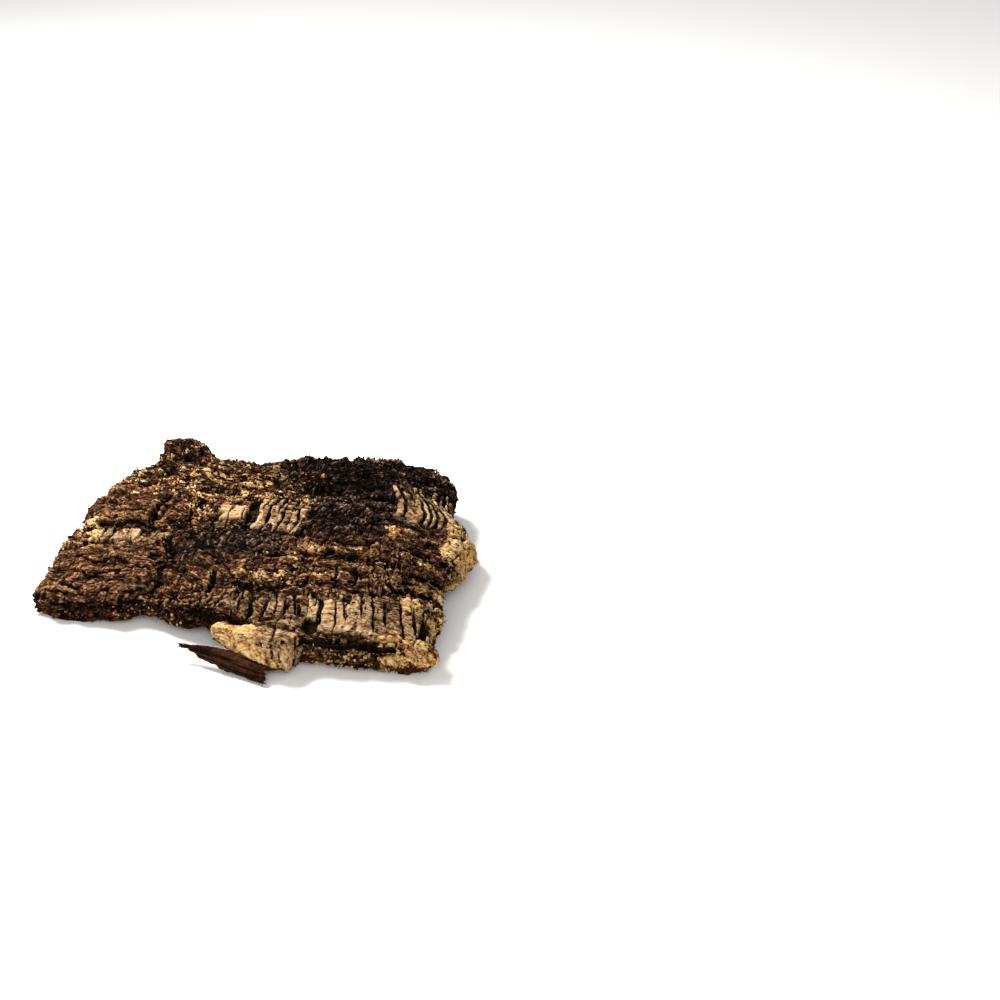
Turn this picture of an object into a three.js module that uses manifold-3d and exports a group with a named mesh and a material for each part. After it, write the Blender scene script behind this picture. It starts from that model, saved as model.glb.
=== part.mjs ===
// A flat slab of virgin cork bark, lying bark side up on three low spots of its edge.
// Millimetres, +Z up. X runs along the trunk, Y across it, and the floor is at z = 0.
// The slab grew as one piece, so everything below ends up in one closed solid.
import * as THREE from "three";
import { mergeVertices } from "three/addons/utils/BufferGeometryUtils.js";
import Module from "manifold-3d";

// How finely the faces are divided, in cells along and across the trunk.
const CELLS_ALONG = 68;
const CELLS_ACROSS = 44;
const WALL_ROWS = 3;
// One coarse cell of the smooth inner face spans this many cells of the bark face.
const INNER_STEP = 4;
const LUMP_DETAIL = 3;

// The middle of the slab's box in the coordinates below: it becomes the origin.
const MIDDLE = [0.22, -8.01];

// The slab's length and width, away from its ragged edges.
const MEAN_LENGTH = 208;
const MEAN_WIDTH = 148;

// The outline seen from above, as points in order along each edge: [x, y].
const FRONT_EDGE = [
  [-111, -66], [-88, -70], [-66, -68], [-48, -63], [-30, -69], [-8, -71],
  [12, -78], [36, -83], [60, -84], [84, -81], [108, -80],
];
const BACK_EDGE = [
  [-80, 62], [-64, 64], [-50, 57], [-34, 55], [-18, 60], [-2, 69],
  [14, 79], [32, 85], [52, 88], [70, 86], [87, 78],
];
const LEFT_EDGE = [
  [-111, -66], [-110, -54], [-112, -41], [-112, -26], [-105, -12], [-107, 4],
  [-102, 22], [-96, 36], [-84, 46], [-80, 62],
];
const RIGHT_EDGE = [
  [108, -80], [109, -70], [103, -54], [106, -38], [102, -18], [105, 2],
  [107, 20], [101, 34], [91, 44], [90, 60], [87, 78],
];

// Heights of the bark face above the floor, and thickness of the slab under it, on a net of
// points. Rows run from front to back, and each row from left to right.
const NET_X = { start: -120, step: 60 };
const NET_Y = { start: -90, step: 45 };
const BARK_HEIGHT = [
  [6, 10, 17, 19, 15],
  [12, 22, 30, 33, 20],
  [20, 30, 35, 35, 18],
  [30, 35, 36, 33, 19],
  [34, 36, 33, 28, 18],
];
const THICKNESS = [
  [7, 11, 17, 19, 15],
  [9, 15, 18, 19, 17],
  [12, 17, 19, 19, 16],
  [13, 17, 20, 20, 17],
  [13, 17, 24, 24, 18],
];

// Low spots of the edge that carry the slab, worn flat on the floor: [x, y] and radius.
const REST_SPOTS = [[-86, -54], [83, -61], [49, 62]];
const REST_RADIUS = 15;
const REST_CURL = 0.2;
// How far everything else stays above the floor.
const FLOOR_GAP = 0.4;

// Long furrows between the bark ridges, and short ones across them: points, depth and half width.
const FURROWS = [
  { path: [[-38, -62], [-2, -56], [45, -51], [106, -45]], depth: 5.5, width: 4.5 },
  { path: [[-100, -20], [-70, -26], [-44, -30], [-36, -46], [-44, -62]], depth: 4.5, width: 4 },
  { path: [[-65, -16], [-63, 0], [-58, 12]], depth: 4, width: 3 },
  { path: [[-40, 24], [-8, 30], [34, 34]], depth: 5, width: 5 },
  { path: [[52, 62], [74, 66], [90, 66]], depth: 3.5, width: 4 },
  { path: [[-92, 26], [-62, 31], [-34, 40]], depth: 3, width: 3.5 },
  { path: [[10, -10], [52, -20], [98, -12]], depth: 3.5, width: 4.5 },
];

// Growth layers break into steps across the trunk, and the steps into blocks along it.
const STEP_WIDTH = 11;
const STEP_HEIGHT = 4.4;
const STEP_RISER = 0.3;
const BLOCK_LENGTH = 8.5;
const BLOCK_HEIGHT = 2.4;
const CRUST_HEIGHT = 3.4;

// Low swellings of the bark face: centre, half sizes and height.
const MOUNDS = [
  { at: [-68, 56], half: [22, 13], height: 7 },
  { at: [-98, -16], half: [11, 11], height: 4 },
  { at: [60, -66], half: [46, 9], height: 3 },
  { at: [100, 12], half: [9, 22], height: 2.5 },
];

// The torn rim: how far it rounds down, tears, crumbles, and draws in below the bark.
const RIM_REACH = 5;
const RIM_DROP = 2.5;
const RAGGED = 3.2;
const RAGGED_REACH = 14;
const CRUMBLE = 2.6;
const UNDERCUT = 0.012;
const INNER_RIPPLE = 0.7;

// Lumps that stand out of the rim: centre, half sizes, turn about the vertical in degrees, seed.
const LUMPS = [
  { at: [-67, 57, 36], half: [13, 9, 8.5], turn: -12, seed: 31 },
  { at: [-104, -18, 13], half: [9, 11, 7], turn: 10, seed: 32 },
  { at: [100, 11, 10.5], half: [9.5, 19, 8.5], turn: -4, seed: 33 },
  { at: [101, -44, 9.5], half: [6.5, 13, 7.5], turn: 5, seed: 34 },
  { at: [98, -76, 8.5], half: [13, 8, 8.4], turn: 8, seed: 35 },
];
const LUMP_ROUGHNESS = 0.6;

// A block of cork torn loose along the front edge and still held at its back.
const CHUNK = {
  size: [46, 19, 17],
  cells: [12, 5, 4],
  at: [18, -83.5, 11.2],
  turn: -17,
  tip: -12,
  taper: 0.42,
  roundness: 0.38,
  roughness: 2,
};
// The strip of dark inner bark that has peeled away below it, cut to a long point at the left.
const STRIP = {
  size: [50, 11, 2.4],
  at: [7, -95, 6.2],
  turn: -14,
  dip: 3.5,
  tilt: 42,
};

const BARK_COLOUR = 0x4a3626;
const BARK_ROUGHNESS = 0.95;

const { clamp, degToRad, smoothstep } = THREE.MathUtils;

// A repeatable number from 0 to 1 for a cell of a grid.
function hash(i, j, seed) {
  const wave = Math.sin(i * 127.1 + j * 311.7 + seed * 74.7) * 43758.5453;
  return wave - Math.floor(wave);
}

// Smooth value noise from -1 to 1.
function noise(x, y, seed) {
  const i = Math.floor(x);
  const j = Math.floor(y);
  const fade = (a) => a * a * a * (a * (a * 6 - 15) + 10);
  const u = fade(x - i);
  const v = fade(y - j);
  const low = hash(i, j, seed) * (1 - u) + hash(i + 1, j, seed) * u;
  const high = hash(i, j + 1, seed) * (1 - u) + hash(i + 1, j + 1, seed) * u;
  return 2 * (low * (1 - v) + high * v) - 1;
}

// Noise in three octaves, each half the size of the last.
function rough(x, y, seed) {
  return (4 * noise(x, y, seed) + 2 * noise(2 * x, 2 * y, seed + 1)
    + noise(4 * x, 4 * y, seed + 2)) / 7;
}

// A smooth curve through b and c, where w runs from 0 to 1.
function catmullRom(a, b, c, d, w) {
  const v0 = (c - a) / 2;
  const v1 = (d - b) / 2;
  return ((2 * b - 2 * c + v0 + v1) * w + (3 * c - 3 * b - 2 * v0 - v1)) * w * w + v0 * w + b;
}

// A smooth surface through a net of five by five values.
function netHeight(net, x, y) {
  const last = net.length - 1;
  const span = (value, { start, step }) => clamp((value - start) / step, 0, last - 0.001);
  const pick = (list, i) => list[clamp(i, 0, last)];
  const p = span(x, NET_X);
  const q = span(y, NET_Y);
  const i = Math.floor(p);
  const j = Math.floor(q);
  const rows = [-1, 0, 1, 2].map((k) => {
    const row = pick(net, j + k);
    return catmullRom(pick(row, i - 1), pick(row, i), pick(row, i + 1), pick(row, i + 2), p - i);
  });
  return catmullRom(...rows, q - j);
}

function distanceToPath(x, y, path) {
  let nearest = Infinity;
  for (let k = 0; k + 1 < path.length; k++) {
    const [ax, ay] = path[k];
    const dx = path[k + 1][0] - ax;
    const dy = path[k + 1][1] - ay;
    const along = clamp(((x - ax) * dx + (y - ay) * dy) / (dx * dx + dy * dy), 0, 1);
    nearest = Math.min(nearest, Math.hypot(x - ax - along * dx, y - ay - along * dy));
  }
  return nearest;
}

// Depth of the furrows at a point, with ragged sides.
function furrowDepth(x, y) {
  const ragged = 1 + 0.45 * rough(x / 9, y / 9, 5);
  return FURROWS.reduce((deepest, { path, depth, width }) => {
    const d = distanceToPath(x, y, path) / (width * ragged);
    return Math.max(deepest, depth * Math.exp(-d * d));
  }, 0);
}

// Height of the low swellings at a point.
function moundHeight(x, y) {
  return MOUNDS.reduce((sum, { at, half, height }) => {
    const dx = (x - at[0]) / half[0];
    const dy = (y - at[1]) / half[1];
    return sum + height * Math.exp(-dx * dx - dy * dy);
  }, 0);
}

// Height of the bark's own relief over the smooth form: steps, blocks, crust and furrows.
function relief(x, y) {
  const warped = (y + 6 * rough(x / 55, y / 40, 1) + 1.5 * noise(x / 12, y / 12, 2)) / STEP_WIDTH;
  const band = Math.floor(warped);
  const f = warped - band;
  const riser = f < STEP_RISER ? f / STEP_RISER : 1 - (f - STEP_RISER) / (1 - STEP_RISER);
  const step = STEP_HEIGHT * (0.5 + 0.5 * hash(band, 0, 3)) * (0.6 + 0.4 * noise(x / 30, band, 4));
  const block = Math.floor(x / BLOCK_LENGTH + 7 * hash(band, 1, 3) + 0.25 * noise(y / 6, x / 9, 6));
  const crust = CRUST_HEIGHT * rough(x / 15, y / 11, 8);
  return riser * step - 0.4 * STEP_HEIGHT + BLOCK_HEIGHT * (hash(block, band, 7) - 0.5)
    + crust + moundHeight(x, y) - furrowDepth(x, y);
}

// One edge of the outline as a smooth curve.
function edgeCurve(points) {
  return new THREE.SplineCurve(points.map(([x, y]) => new THREE.Vector2(x, y)));
}

const EDGES = {
  front: edgeCurve(FRONT_EDGE),
  back: edgeCurve(BACK_EDGE),
  left: edgeCurve(LEFT_EDGE),
  right: edgeCurve(RIGHT_EDGE),
};

// Place in plan of the fraction s along the trunk and t across it, filling the four edges.
function planPoint(s, t) {
  const at = (edge, w) => EDGES[edge].getPoint(w);
  const mix = new THREE.Vector2();
  mix.addScaledVector(at("front", s), 1 - t).addScaledVector(at("back", s), t);
  mix.addScaledVector(at("left", t), 1 - s).addScaledVector(at("right", t), s);
  mix.addScaledVector(at("front", 0), -(1 - s) * (1 - t)).addScaledVector(at("front", 1), -s * (1 - t));
  mix.addScaledVector(at("back", 0), -(1 - s) * t).addScaledVector(at("back", 1), -s * t);
  return mix;
}

// Distance from the rim, near enough.
function distanceToRim(s, t) {
  return Math.min(Math.min(s, 1 - s) * MEAN_LENGTH, Math.min(t, 1 - t) * MEAN_WIDTH);
}

// Tears the outline: moves a point of the plan in or out, and less so away from the rim.
function tear(p, s, t, seed) {
  const share = RAGGED * Math.max(0, 1 - distanceToRim(s, t) / RAGGED_REACH);
  const { x, y } = p;
  p.x += share * rough(x / 8, y / 8, seed);
  p.y += share * rough(x / 8, y / 8, seed + 5);
  return p;
}

// A point of the bark face. Near the rim it rounds down.
function barkPoint(s, t) {
  const p = tear(planPoint(s, t), s, t, 11);
  const rim = Math.max(0, 1 - distanceToRim(s, t) / RIM_REACH);
  const z = netHeight(BARK_HEIGHT, p.x, p.y) + relief(p.x, p.y) - RIM_DROP * rim * rim;
  return new THREE.Vector3(p.x, p.y, z);
}

// A point of the smooth inner face, which is flat on its rest spots and clear of the floor elsewhere.
function innerPoint(s, t) {
  const draw = (w) => UNDERCUT + w * (1 - 2 * UNDERCUT);
  const p = tear(planPoint(draw(s), draw(t)), s, t, 12);
  const ripple = INNER_RIPPLE * noise(p.x / 30, p.y / 7, 9);
  const grown = netHeight(BARK_HEIGHT, p.x, p.y) - netHeight(THICKNESS, p.x, p.y) + ripple;
  const curls = REST_SPOTS.map(([x, y]) => {
    const beyond = Math.max(0, Math.hypot(p.x - x, p.y - y) - REST_RADIUS);
    return REST_CURL * beyond * beyond;
  });
  return new THREE.Vector3(p.x, p.y, Math.min(Math.max(FLOOR_GAP, grown), ...curls));
}

// The points and triangles of one surface, as it is put together.
class Surface {
  points = [];

  index = [];

  add(point) {
    this.points.push(point);
    return this.points.length - 1;
  }

  quad(a, b, c, d) {
    this.index.push(a, b, c, a, c, d);
  }

  toGeometry() {
    const geometry = new THREE.BufferGeometry().setFromPoints(this.points);
    geometry.setIndex(this.index);
    return geometry;
  }
}

// Adds the bark face, and returns its points' numbers as [s index][t index].
function addBark(surface) {
  const bark = [];
  for (let i = 0; i <= CELLS_ALONG; i++) {
    bark.push([]);
    for (let j = 0; j <= CELLS_ACROSS; j++) {
      bark[i].push(surface.add(barkPoint(i / CELLS_ALONG, j / CELLS_ACROSS)));
    }
  }
  for (let i = 0; i < CELLS_ALONG; i++) {
    for (let j = 0; j < CELLS_ACROSS; j++) {
      surface.quad(bark[i][j], bark[i + 1][j], bark[i + 1][j + 1], bark[i][j + 1]);
    }
  }
  return bark;
}

// The rim in order round the slab from its front left corner, as [s index, t index].
function rimCells() {
  const cells = [];
  for (let i = 0; i < CELLS_ALONG; i++) cells.push([i, 0]);
  for (let j = 0; j < CELLS_ACROSS; j++) cells.push([CELLS_ALONG, j]);
  for (let i = CELLS_ALONG; i > 0; i--) cells.push([i, CELLS_ACROSS]);
  for (let j = CELLS_ACROSS; j > 0; j--) cells.push([0, j]);
  return cells;
}

// Adds the torn wall between the rims of the bark face and of the inner face.
function addWall(surface, upperRim, innerRim) {
  const count = upperRim.length;
  const upper = upperRim.map((number) => surface.points[number]);
  const inner = innerRim.map((number) => surface.points[number]);
  const rows = [upperRim];
  for (let row = 1; row < WALL_ROWS; row++) {
    rows.push(upper.map((top, k) => {
      const before = upper[(k + count - 1) % count];
      const after = upper[(k + 1) % count];
      const out = new THREE.Vector3(after.y - before.y, before.x - after.x, 0).normalize();
      const push = CRUMBLE * (rough(k / 5, row * 1.7, 10) - 0.2);
      return surface.add(top.clone().lerp(inner[k], row / WALL_ROWS).addScaledVector(out, push));
    }));
  }
  rows.push(innerRim);
  for (let row = 0; row < WALL_ROWS; row++) {
    for (let k = 0; k < count; k++) {
      const next = (k + 1) % count;
      surface.quad(rows[row][k], rows[row + 1][k], rows[row + 1][next], rows[row][next]);
    }
  }
}

// The corners and side points of one coarse cell of the inner face, in order round it. Only a side
// on the rim has points between its corners.
function cellLoop(i, j) {
  const corners = [[i, j], [i, j + INNER_STEP], [i + INNER_STEP, j + INNER_STEP], [i + INNER_STEP, j]];
  return corners.flatMap(([a, b], c) => {
    const [nextA, nextB] = corners[(c + 1) % corners.length];
    const onRim = (a === nextA && (a === 0 || a === CELLS_ALONG))
      || (b === nextB && (b === 0 || b === CELLS_ACROSS));
    const count = onRim ? INNER_STEP : 1;
    const step = (from, to, k) => from + Math.sign(to - from) * k;
    return Array.from({ length: count }, (_, k) => [step(a, nextA, k), step(b, nextB, k)]);
  });
}

// Adds the inner face in coarse cells, which fan out to every point of the rim.
function addInner(surface, rim, innerRim) {
  const numbers = new Map(rim.map((cell, k) => [String(cell), innerRim[k]]));
  const number = (cell) => {
    const key = String(cell);
    if (!numbers.has(key)) {
      numbers.set(key, surface.add(innerPoint(cell[0] / CELLS_ALONG, cell[1] / CELLS_ACROSS)));
    }
    return numbers.get(key);
  };
  const isInside = ([a, b]) => a > 0 && a < CELLS_ALONG && b > 0 && b < CELLS_ACROSS;
  for (let i = 0; i < CELLS_ALONG; i += INNER_STEP) {
    for (let j = 0; j < CELLS_ACROSS; j += INNER_STEP) {
      const loop = cellLoop(i, j);
      const start = loop.findIndex(isInside);
      const fan = loop.map((_, k) => number(loop[(start + k) % loop.length]));
      for (let k = 1; k + 1 < fan.length; k++) surface.index.push(fan[0], fan[k], fan[k + 1]);
    }
  }
}

// The slab's closed surface: bark face, torn wall and inner face.
function slabGeometry() {
  const surface = new Surface();
  const bark = addBark(surface);
  const rim = rimCells();
  const innerRim = rim.map(([i, j]) => surface.add(innerPoint(i / CELLS_ALONG, j / CELLS_ACROSS)));
  addWall(surface, rim.map(([i, j]) => bark[i][j]), innerRim);
  addInner(surface, rim, innerRim);
  return surface.toGeometry();
}

// A geometry's shared vertices merged, so that it is closed.
function closed(geometry) {
  geometry.deleteAttribute("normal");
  geometry.deleteAttribute("uv");
  return mergeVertices(geometry, 1e-4);
}

// Moves each vertex to where the function puts it.
function reshape(geometry, move) {
  const place = geometry.attributes.position;
  for (let k = 0; k < place.count; k++) {
    const p = move(new THREE.Vector3().fromBufferAttribute(place, k));
    place.setXYZ(k, p.x, p.y, p.z);
  }
  return geometry;
}

// Flattens whatever would reach under the floor.
function aboveFloor(geometry) {
  return reshape(geometry, (p) => p.setZ(Math.max(FLOOR_GAP, p.z)));
}

// A rough lump of cork, as a ball pushed in and out by noise.
function lumpGeometry({ at, half, turn, seed }) {
  const ball = closed(new THREE.IcosahedronGeometry(1, LUMP_DETAIL));
  reshape(ball, (p) => {
    const swell = 1 + LUMP_ROUGHNESS * rough(p.x * 2 + p.z, p.y * 2 - p.z, seed);
    return p.multiply(new THREE.Vector3(...half)).multiplyScalar(swell);
  });
  ball.rotateZ(degToRad(turn));
  ball.translate(...at);
  return aboveFloor(ball);
}

// The torn block: a box, rounded off, narrower at the left and broken by noise.
function chunkGeometry() {
  const { size: [length, depth, height], cells, at, turn, tip, taper, roundness, roughness } = CHUNK;
  const box = closed(new THREE.BoxGeometry(2, 2, 2, ...cells));
  reshape(box, (p) => {
    const ball = p.clone().normalize().multiplyScalar(1.25);
    p.lerp(ball, roundness);
    const narrow = 1 - taper * smoothstep(-p.x, -0.4, 1);
    p.multiply(new THREE.Vector3(length / 2, narrow * depth / 2, narrow * height / 2));
    return p.addScalar(roughness * rough(p.x / 9 + p.z / 6, p.y / 8 - p.z / 9, 21));
  });
  box.rotateX(degToRad(tip));
  box.rotateZ(degToRad(turn));
  box.translate(...at);
  return aboveFloor(box);
}

// The peeled strip: a thin blade with a long point.
function stripGeometry() {
  const { size: [length, width, thickness], at, turn, dip, tilt } = STRIP;
  const outline = new THREE.Shape();
  outline.moveTo(-length / 2, -0.05 * width);
  outline.quadraticCurveTo(-length / 6, -0.62 * width, length / 2, -0.42 * width);
  outline.lineTo(0.44 * length, 0.36 * width);
  outline.quadraticCurveTo(0, 0.6 * width, -0.36 * length, 0.3 * width);
  outline.closePath();
  const strip = new THREE.ExtrudeGeometry(outline, {
    depth: thickness,
    bevelEnabled: false,
    curveSegments: 7,
  });
  strip.translate(0, 0, -thickness / 2);
  strip.rotateX(degToRad(tilt));
  strip.rotateY(degToRad(dip));
  strip.rotateZ(degToRad(turn));
  strip.translate(...at);
  return aboveFloor(closed(strip));
}

const wasm = await Module();
wasm.setup();

function toSolid(geometry) {
  return new wasm.Manifold(new wasm.Mesh({
    numProp: 3,
    vertProperties: new Float32Array(geometry.attributes.position.array),
    triVerts: new Uint32Array(geometry.index.array),
  }));
}

function toGeometry(solid) {
  const { vertProperties, triVerts } = solid.getMesh();
  const geometry = new THREE.BufferGeometry();
  geometry.setAttribute("position", new THREE.BufferAttribute(vertProperties, 3));
  geometry.setIndex(new THREE.BufferAttribute(triVerts, 1));
  geometry.computeVertexNormals();
  return geometry;
}

// The whole slab, with its lumps, its torn block and the peeled strip grown on.
function barkSlab() {
  const pieces = [...LUMPS.map(lumpGeometry), chunkGeometry(), stripGeometry()];
  const solid = pieces.reduce((whole, piece) => whole.add(toSolid(piece)), toSolid(slabGeometry()));
  const geometry = toGeometry(solid);
  geometry.translate(-MIDDLE[0], -MIDDLE[1], 0);
  const material = new THREE.MeshStandardMaterial({
    color: BARK_COLOUR,
    roughness: BARK_ROUGHNESS,
    metalness: 0,
    flatShading: true,
  });
  const mesh = new THREE.Mesh(geometry, material);
  mesh.name = "bark_slab";
  return mesh;
}

const slab = new THREE.Group();
slab.add(barkSlab());

export default slab;
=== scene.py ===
"""A slab of virgin cork bark on a plain pale floor. Metres, +Z up, X along the trunk."""
import logging
import math
from collections.abc import Callable
from dataclasses import dataclass
from enum import Enum

import bpy
import numpy as np
from mathutils import Matrix, Vector


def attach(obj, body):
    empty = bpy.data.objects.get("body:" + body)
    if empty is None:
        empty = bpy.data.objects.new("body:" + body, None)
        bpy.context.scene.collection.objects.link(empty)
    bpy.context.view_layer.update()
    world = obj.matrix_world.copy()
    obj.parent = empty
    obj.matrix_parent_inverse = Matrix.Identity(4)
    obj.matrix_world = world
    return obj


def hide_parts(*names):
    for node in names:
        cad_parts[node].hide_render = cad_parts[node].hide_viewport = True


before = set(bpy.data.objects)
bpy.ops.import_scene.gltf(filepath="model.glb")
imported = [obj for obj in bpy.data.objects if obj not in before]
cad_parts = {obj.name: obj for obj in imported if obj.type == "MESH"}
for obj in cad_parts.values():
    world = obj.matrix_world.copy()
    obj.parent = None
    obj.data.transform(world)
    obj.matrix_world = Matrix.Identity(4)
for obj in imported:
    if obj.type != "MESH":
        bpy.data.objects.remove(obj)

LOG = logging.getLogger("cork_bark")
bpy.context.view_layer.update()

MM = 0.001
NODE = "bark_slab"
# The middle of the slab's box in the coordinates of its outline, which becomes the origin.
MIDDLE = np.array([0.22, -8.01, 0.0])

Array = np.ndarray


class Mask(Enum):
    """What a point of the cork is made of, and the shade and highlights painted on it. Each is a mesh
    attribute from 0 to 1.
    """

    PALE = "pale"
    TAN = "tan"
    RUST = "rust"
    CRUST_AND_PAINTED_SHADOW = "crust"
    PAINTED_SHADE_AND_DARK_TONE = "cavity"
    EDGE = "edge"
    TONE = "tone"


Look = dict[Mask, Array]
Pair = tuple[float, float]
Triple = tuple[float, float, float]
Ramp = tuple[tuple[float, str], ...]
Socket = bpy.types.NodeSocket


def cell_hash(i: Array, j: Array, seed: float) -> Array:
    """Return a repeatable number from 0 to 1 for each cell of a grid."""
    wave = np.sin(i * 127.1 + j * 311.7 + seed * 74.7) * 43758.5453
    return wave - np.floor(wave)


def noise(x: Array, y: Array, seed: float) -> Array:
    """Make smooth noise that changes over one unit of its coordinates.

    Args:
        x: First coordinate, in cells.
        y: Second coordinate, in cells.
        seed: Number of the pattern.

    Returns:
        Values from -1 to 1.
    """
    x, y = np.broadcast_arrays(np.asarray(x, float), np.asarray(y, float))
    i, j = np.floor(x), np.floor(y)
    u, v = ((a * a * a * (a * (a * 6 - 15) + 10)) for a in (x - i, y - j))
    low = cell_hash(i, j, seed) * (1 - u) + cell_hash(i + 1, j, seed) * u
    high = cell_hash(i, j + 1, seed) * (1 - u) + cell_hash(i + 1, j + 1, seed) * u
    return 2 * (low * (1 - v) + high * v) - 1


def rough(x: Array, y: Array, seed: float) -> Array:
    """Make noise in three octaves, each half the size of the last.

    Args:
        x: First coordinate, in cells of the largest octave.
        y: Second coordinate, in such cells.
        seed: Number of the pattern.

    Returns:
        Values from -1 to 1.
    """
    x, y = np.asarray(x, float), np.asarray(y, float)
    return (4 * noise(x, y, seed) + 2 * noise(2 * x, 2 * y, seed + 1)
            + noise(4 * x, 4 * y, seed + 2)) / 7


def cells(x: Array, y: Array, seed: float) -> tuple[Array, Array]:
    """Break a plane into irregular cells.

    Args:
        x: First coordinate, in cells.
        y: Second coordinate, in cells.
        seed: Number of the pattern.

    Returns:
        The distance to the nearest border, in cells, and each cell's own number from 0 to 1.
    """
    i, j = np.floor(x), np.floor(y)
    first = np.full(x.shape, 9.0)
    second = np.full(x.shape, 9.0)
    own = np.zeros(x.shape)
    for di in (-1, 0, 1):
        for dj in (-1, 0, 1):
            a, b = i + di, j + dj
            dx = a + 0.15 + 0.7 * cell_hash(a, b, seed) - x
            dy = b + 0.15 + 0.7 * cell_hash(a, b, seed + 1) - y
            d = np.hypot(dx, dy)
            nearer = d < first
            second = np.where(nearer, first, np.minimum(second, d))
            own = np.where(nearer, cell_hash(a, b, seed + 2), own)
            first = np.where(nearer, d, first)
    return second - first, own


def smooth_step(value: Array, low: float, high: float) -> Array:
    """Return 0 below low, 1 above high, and a smooth change between them."""
    w = np.clip((value - low) / (high - low), 0, 1)
    return w * w * (3 - 2 * w)


def catmull_rom(a: Array, b: Array, c: Array, d: Array, w: Array) -> Array:
    """Return the point of a smooth curve through b and c, where w runs from 0 to 1."""
    v0, v1 = (c - a) / 2, (d - b) / 2
    return ((2 * b - 2 * c + v0 + v1) * w + (3 * c - 3 * b - 2 * v0 - v1)) * w * w + v0 * w + b


def spline(points: Array, w: Array) -> Array:
    """Follow the smooth curve through a list of points.

    Args:
        points: The list, as [number][axis].
        w: Places along the curve, from 0 to 1.

    Returns:
        The points at those places.
    """
    last = len(points) - 1
    place = last * np.asarray(w, float)
    k = np.floor(place).astype(int)
    a, b = np.where(k == 0, k, k - 1), np.minimum(k, last)
    c, d = np.where(k > last - 1, last, k + 1), np.where(k > last - 2, last, k + 2)
    return catmull_rom(points[a], points[b], points[c], points[d], (place - k)[..., None])


@dataclass(frozen=True)
class Furrow:
    """A groove of the bark face, along a path. Sizes in millimetres."""

    path: tuple[tuple[float, float], ...]
    depth: float
    width: float

    def distance(self, x: Array, y: Array) -> Array:
        """Measure how far places are from the path.

        Args:
            x: Places along the trunk, in millimetres.
            y: Places across it.

        Returns:
            Distances in millimetres.
        """
        nearest = np.full(x.shape, np.inf)
        for (ax, ay), (bx, by) in zip(self.path, self.path[1:]):
            dx, dy = bx - ax, by - ay
            along = np.clip(((x - ax) * dx + (y - ay) * dy) / (dx * dx + dy * dy), 0, 1)
            nearest = np.minimum(nearest, np.hypot(x - ax - along * dx, y - ay - along * dy))
        return nearest


@dataclass(frozen=True)
class Patch:
    """An area of the bark face that looks different. Sizes in millimetres, turn in degrees."""

    at: Pair
    half: Pair
    turn: float = 0.0
    # How far noise moves the border, as a share of the half sizes.
    ragged: float = 0.35
    strength: float = 1.0
    # Width of the patch's border, as a share of its half sizes.
    soft: float = 0.25

    def cover(self, x: Array, y: Array, seed: float) -> Array:
        """Work out where the patch lies.

        Args:
            x: Places along the trunk, in millimetres.
            y: Places across it.
            seed: Number of the pattern that makes the border ragged.

        Returns:
            The patch's strength in it, and 0 beyond it.
        """
        angle = math.radians(self.turn)
        dx, dy = x - self.at[0], y - self.at[1]
        u = (dx * math.cos(angle) + dy * math.sin(angle)) / self.half[0]
        v = (dy * math.cos(angle) - dx * math.sin(angle)) / self.half[1]
        reach = (u ** 4 + v ** 4) ** 0.25 + self.ragged * rough(x / 7, y / 5, seed)
        return self.strength * (1 - smooth_step(reach, 1 - 0.6 * self.soft, 1 + 0.4 * self.soft))


def cover(patches: tuple[Patch, ...], x: Array, y: Array, seed: float) -> Array:
    """Return the strongest cover of several patches at each point."""
    return np.max([patch.cover(x, y, seed + k) for k, patch in enumerate(patches)], axis=0)


# The slab's outline and form, as the solid has them, in millimetres.
MEAN_LENGTH = 208.0
MEAN_WIDTH = 148.0
EDGES = {
    "front": np.array([
        [-111, -66], [-88, -70], [-66, -68], [-48, -63], [-30, -69], [-8, -71],
        [12, -78], [36, -83], [60, -84], [84, -81], [108, -80]], float),
    "back": np.array([
        [-80, 62], [-64, 64], [-50, 57], [-34, 55], [-18, 60], [-2, 69],
        [14, 79], [32, 85], [52, 88], [70, 86], [87, 78]], float),
    "left": np.array([
        [-111, -66], [-110, -54], [-112, -41], [-112, -26], [-105, -12], [-107, 4],
        [-102, 22], [-96, 36], [-84, 46], [-80, 62]], float),
    "right": np.array([
        [108, -80], [109, -70], [103, -54], [106, -38], [102, -18], [105, 2],
        [107, 20], [101, 34], [91, 44], [90, 60], [87, 78]], float),
}
NET_START = (-120.0, -90.0)
NET_STEP = (60.0, 45.0)
BARK_HEIGHT = np.array([
    [6, 10, 17, 19, 15],
    [12, 22, 30, 33, 20],
    [20, 30, 35, 35, 18],
    [30, 35, 36, 33, 19],
    [34, 36, 33, 28, 18]], float)
THICKNESS = np.array([
    [7, 11, 17, 19, 15],
    [9, 15, 18, 19, 17],
    [12, 17, 19, 19, 16],
    [13, 17, 20, 20, 17],
    [13, 17, 24, 24, 18]], float)
REST_SPOTS = ((-86, -54), (83, -61), (49, 62))
REST_RADIUS = 15.0
REST_CURL = 0.2
FLOOR_GAP = 0.4
FURROWS = (
    Furrow(((-38, -62), (-2, -56), (45, -51), (106, -45)), 5.5, 4.5),
    Furrow(((-100, -20), (-70, -26), (-44, -30), (-36, -46), (-44, -62)), 4.5, 4),
    Furrow(((-65, -16), (-63, 0), (-58, 12)), 4, 3),
    Furrow(((-40, 24), (-8, 30), (34, 34)), 5, 5),
    Furrow(((52, 62), (74, 66), (90, 66)), 3.5, 4),
    Furrow(((-92, 26), (-62, 31), (-34, 40)), 3, 3.5),
    Furrow(((10, -10), (52, -20), (98, -12)), 3.5, 4.5),
)
STEP_WIDTH = 11.0
STEP_HEIGHT = 4.4
STEP_RISER = 0.3
BLOCK_LENGTH = 8.5
BLOCK_HEIGHT = 2.4
CRUST_HEIGHT = 3.4
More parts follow.
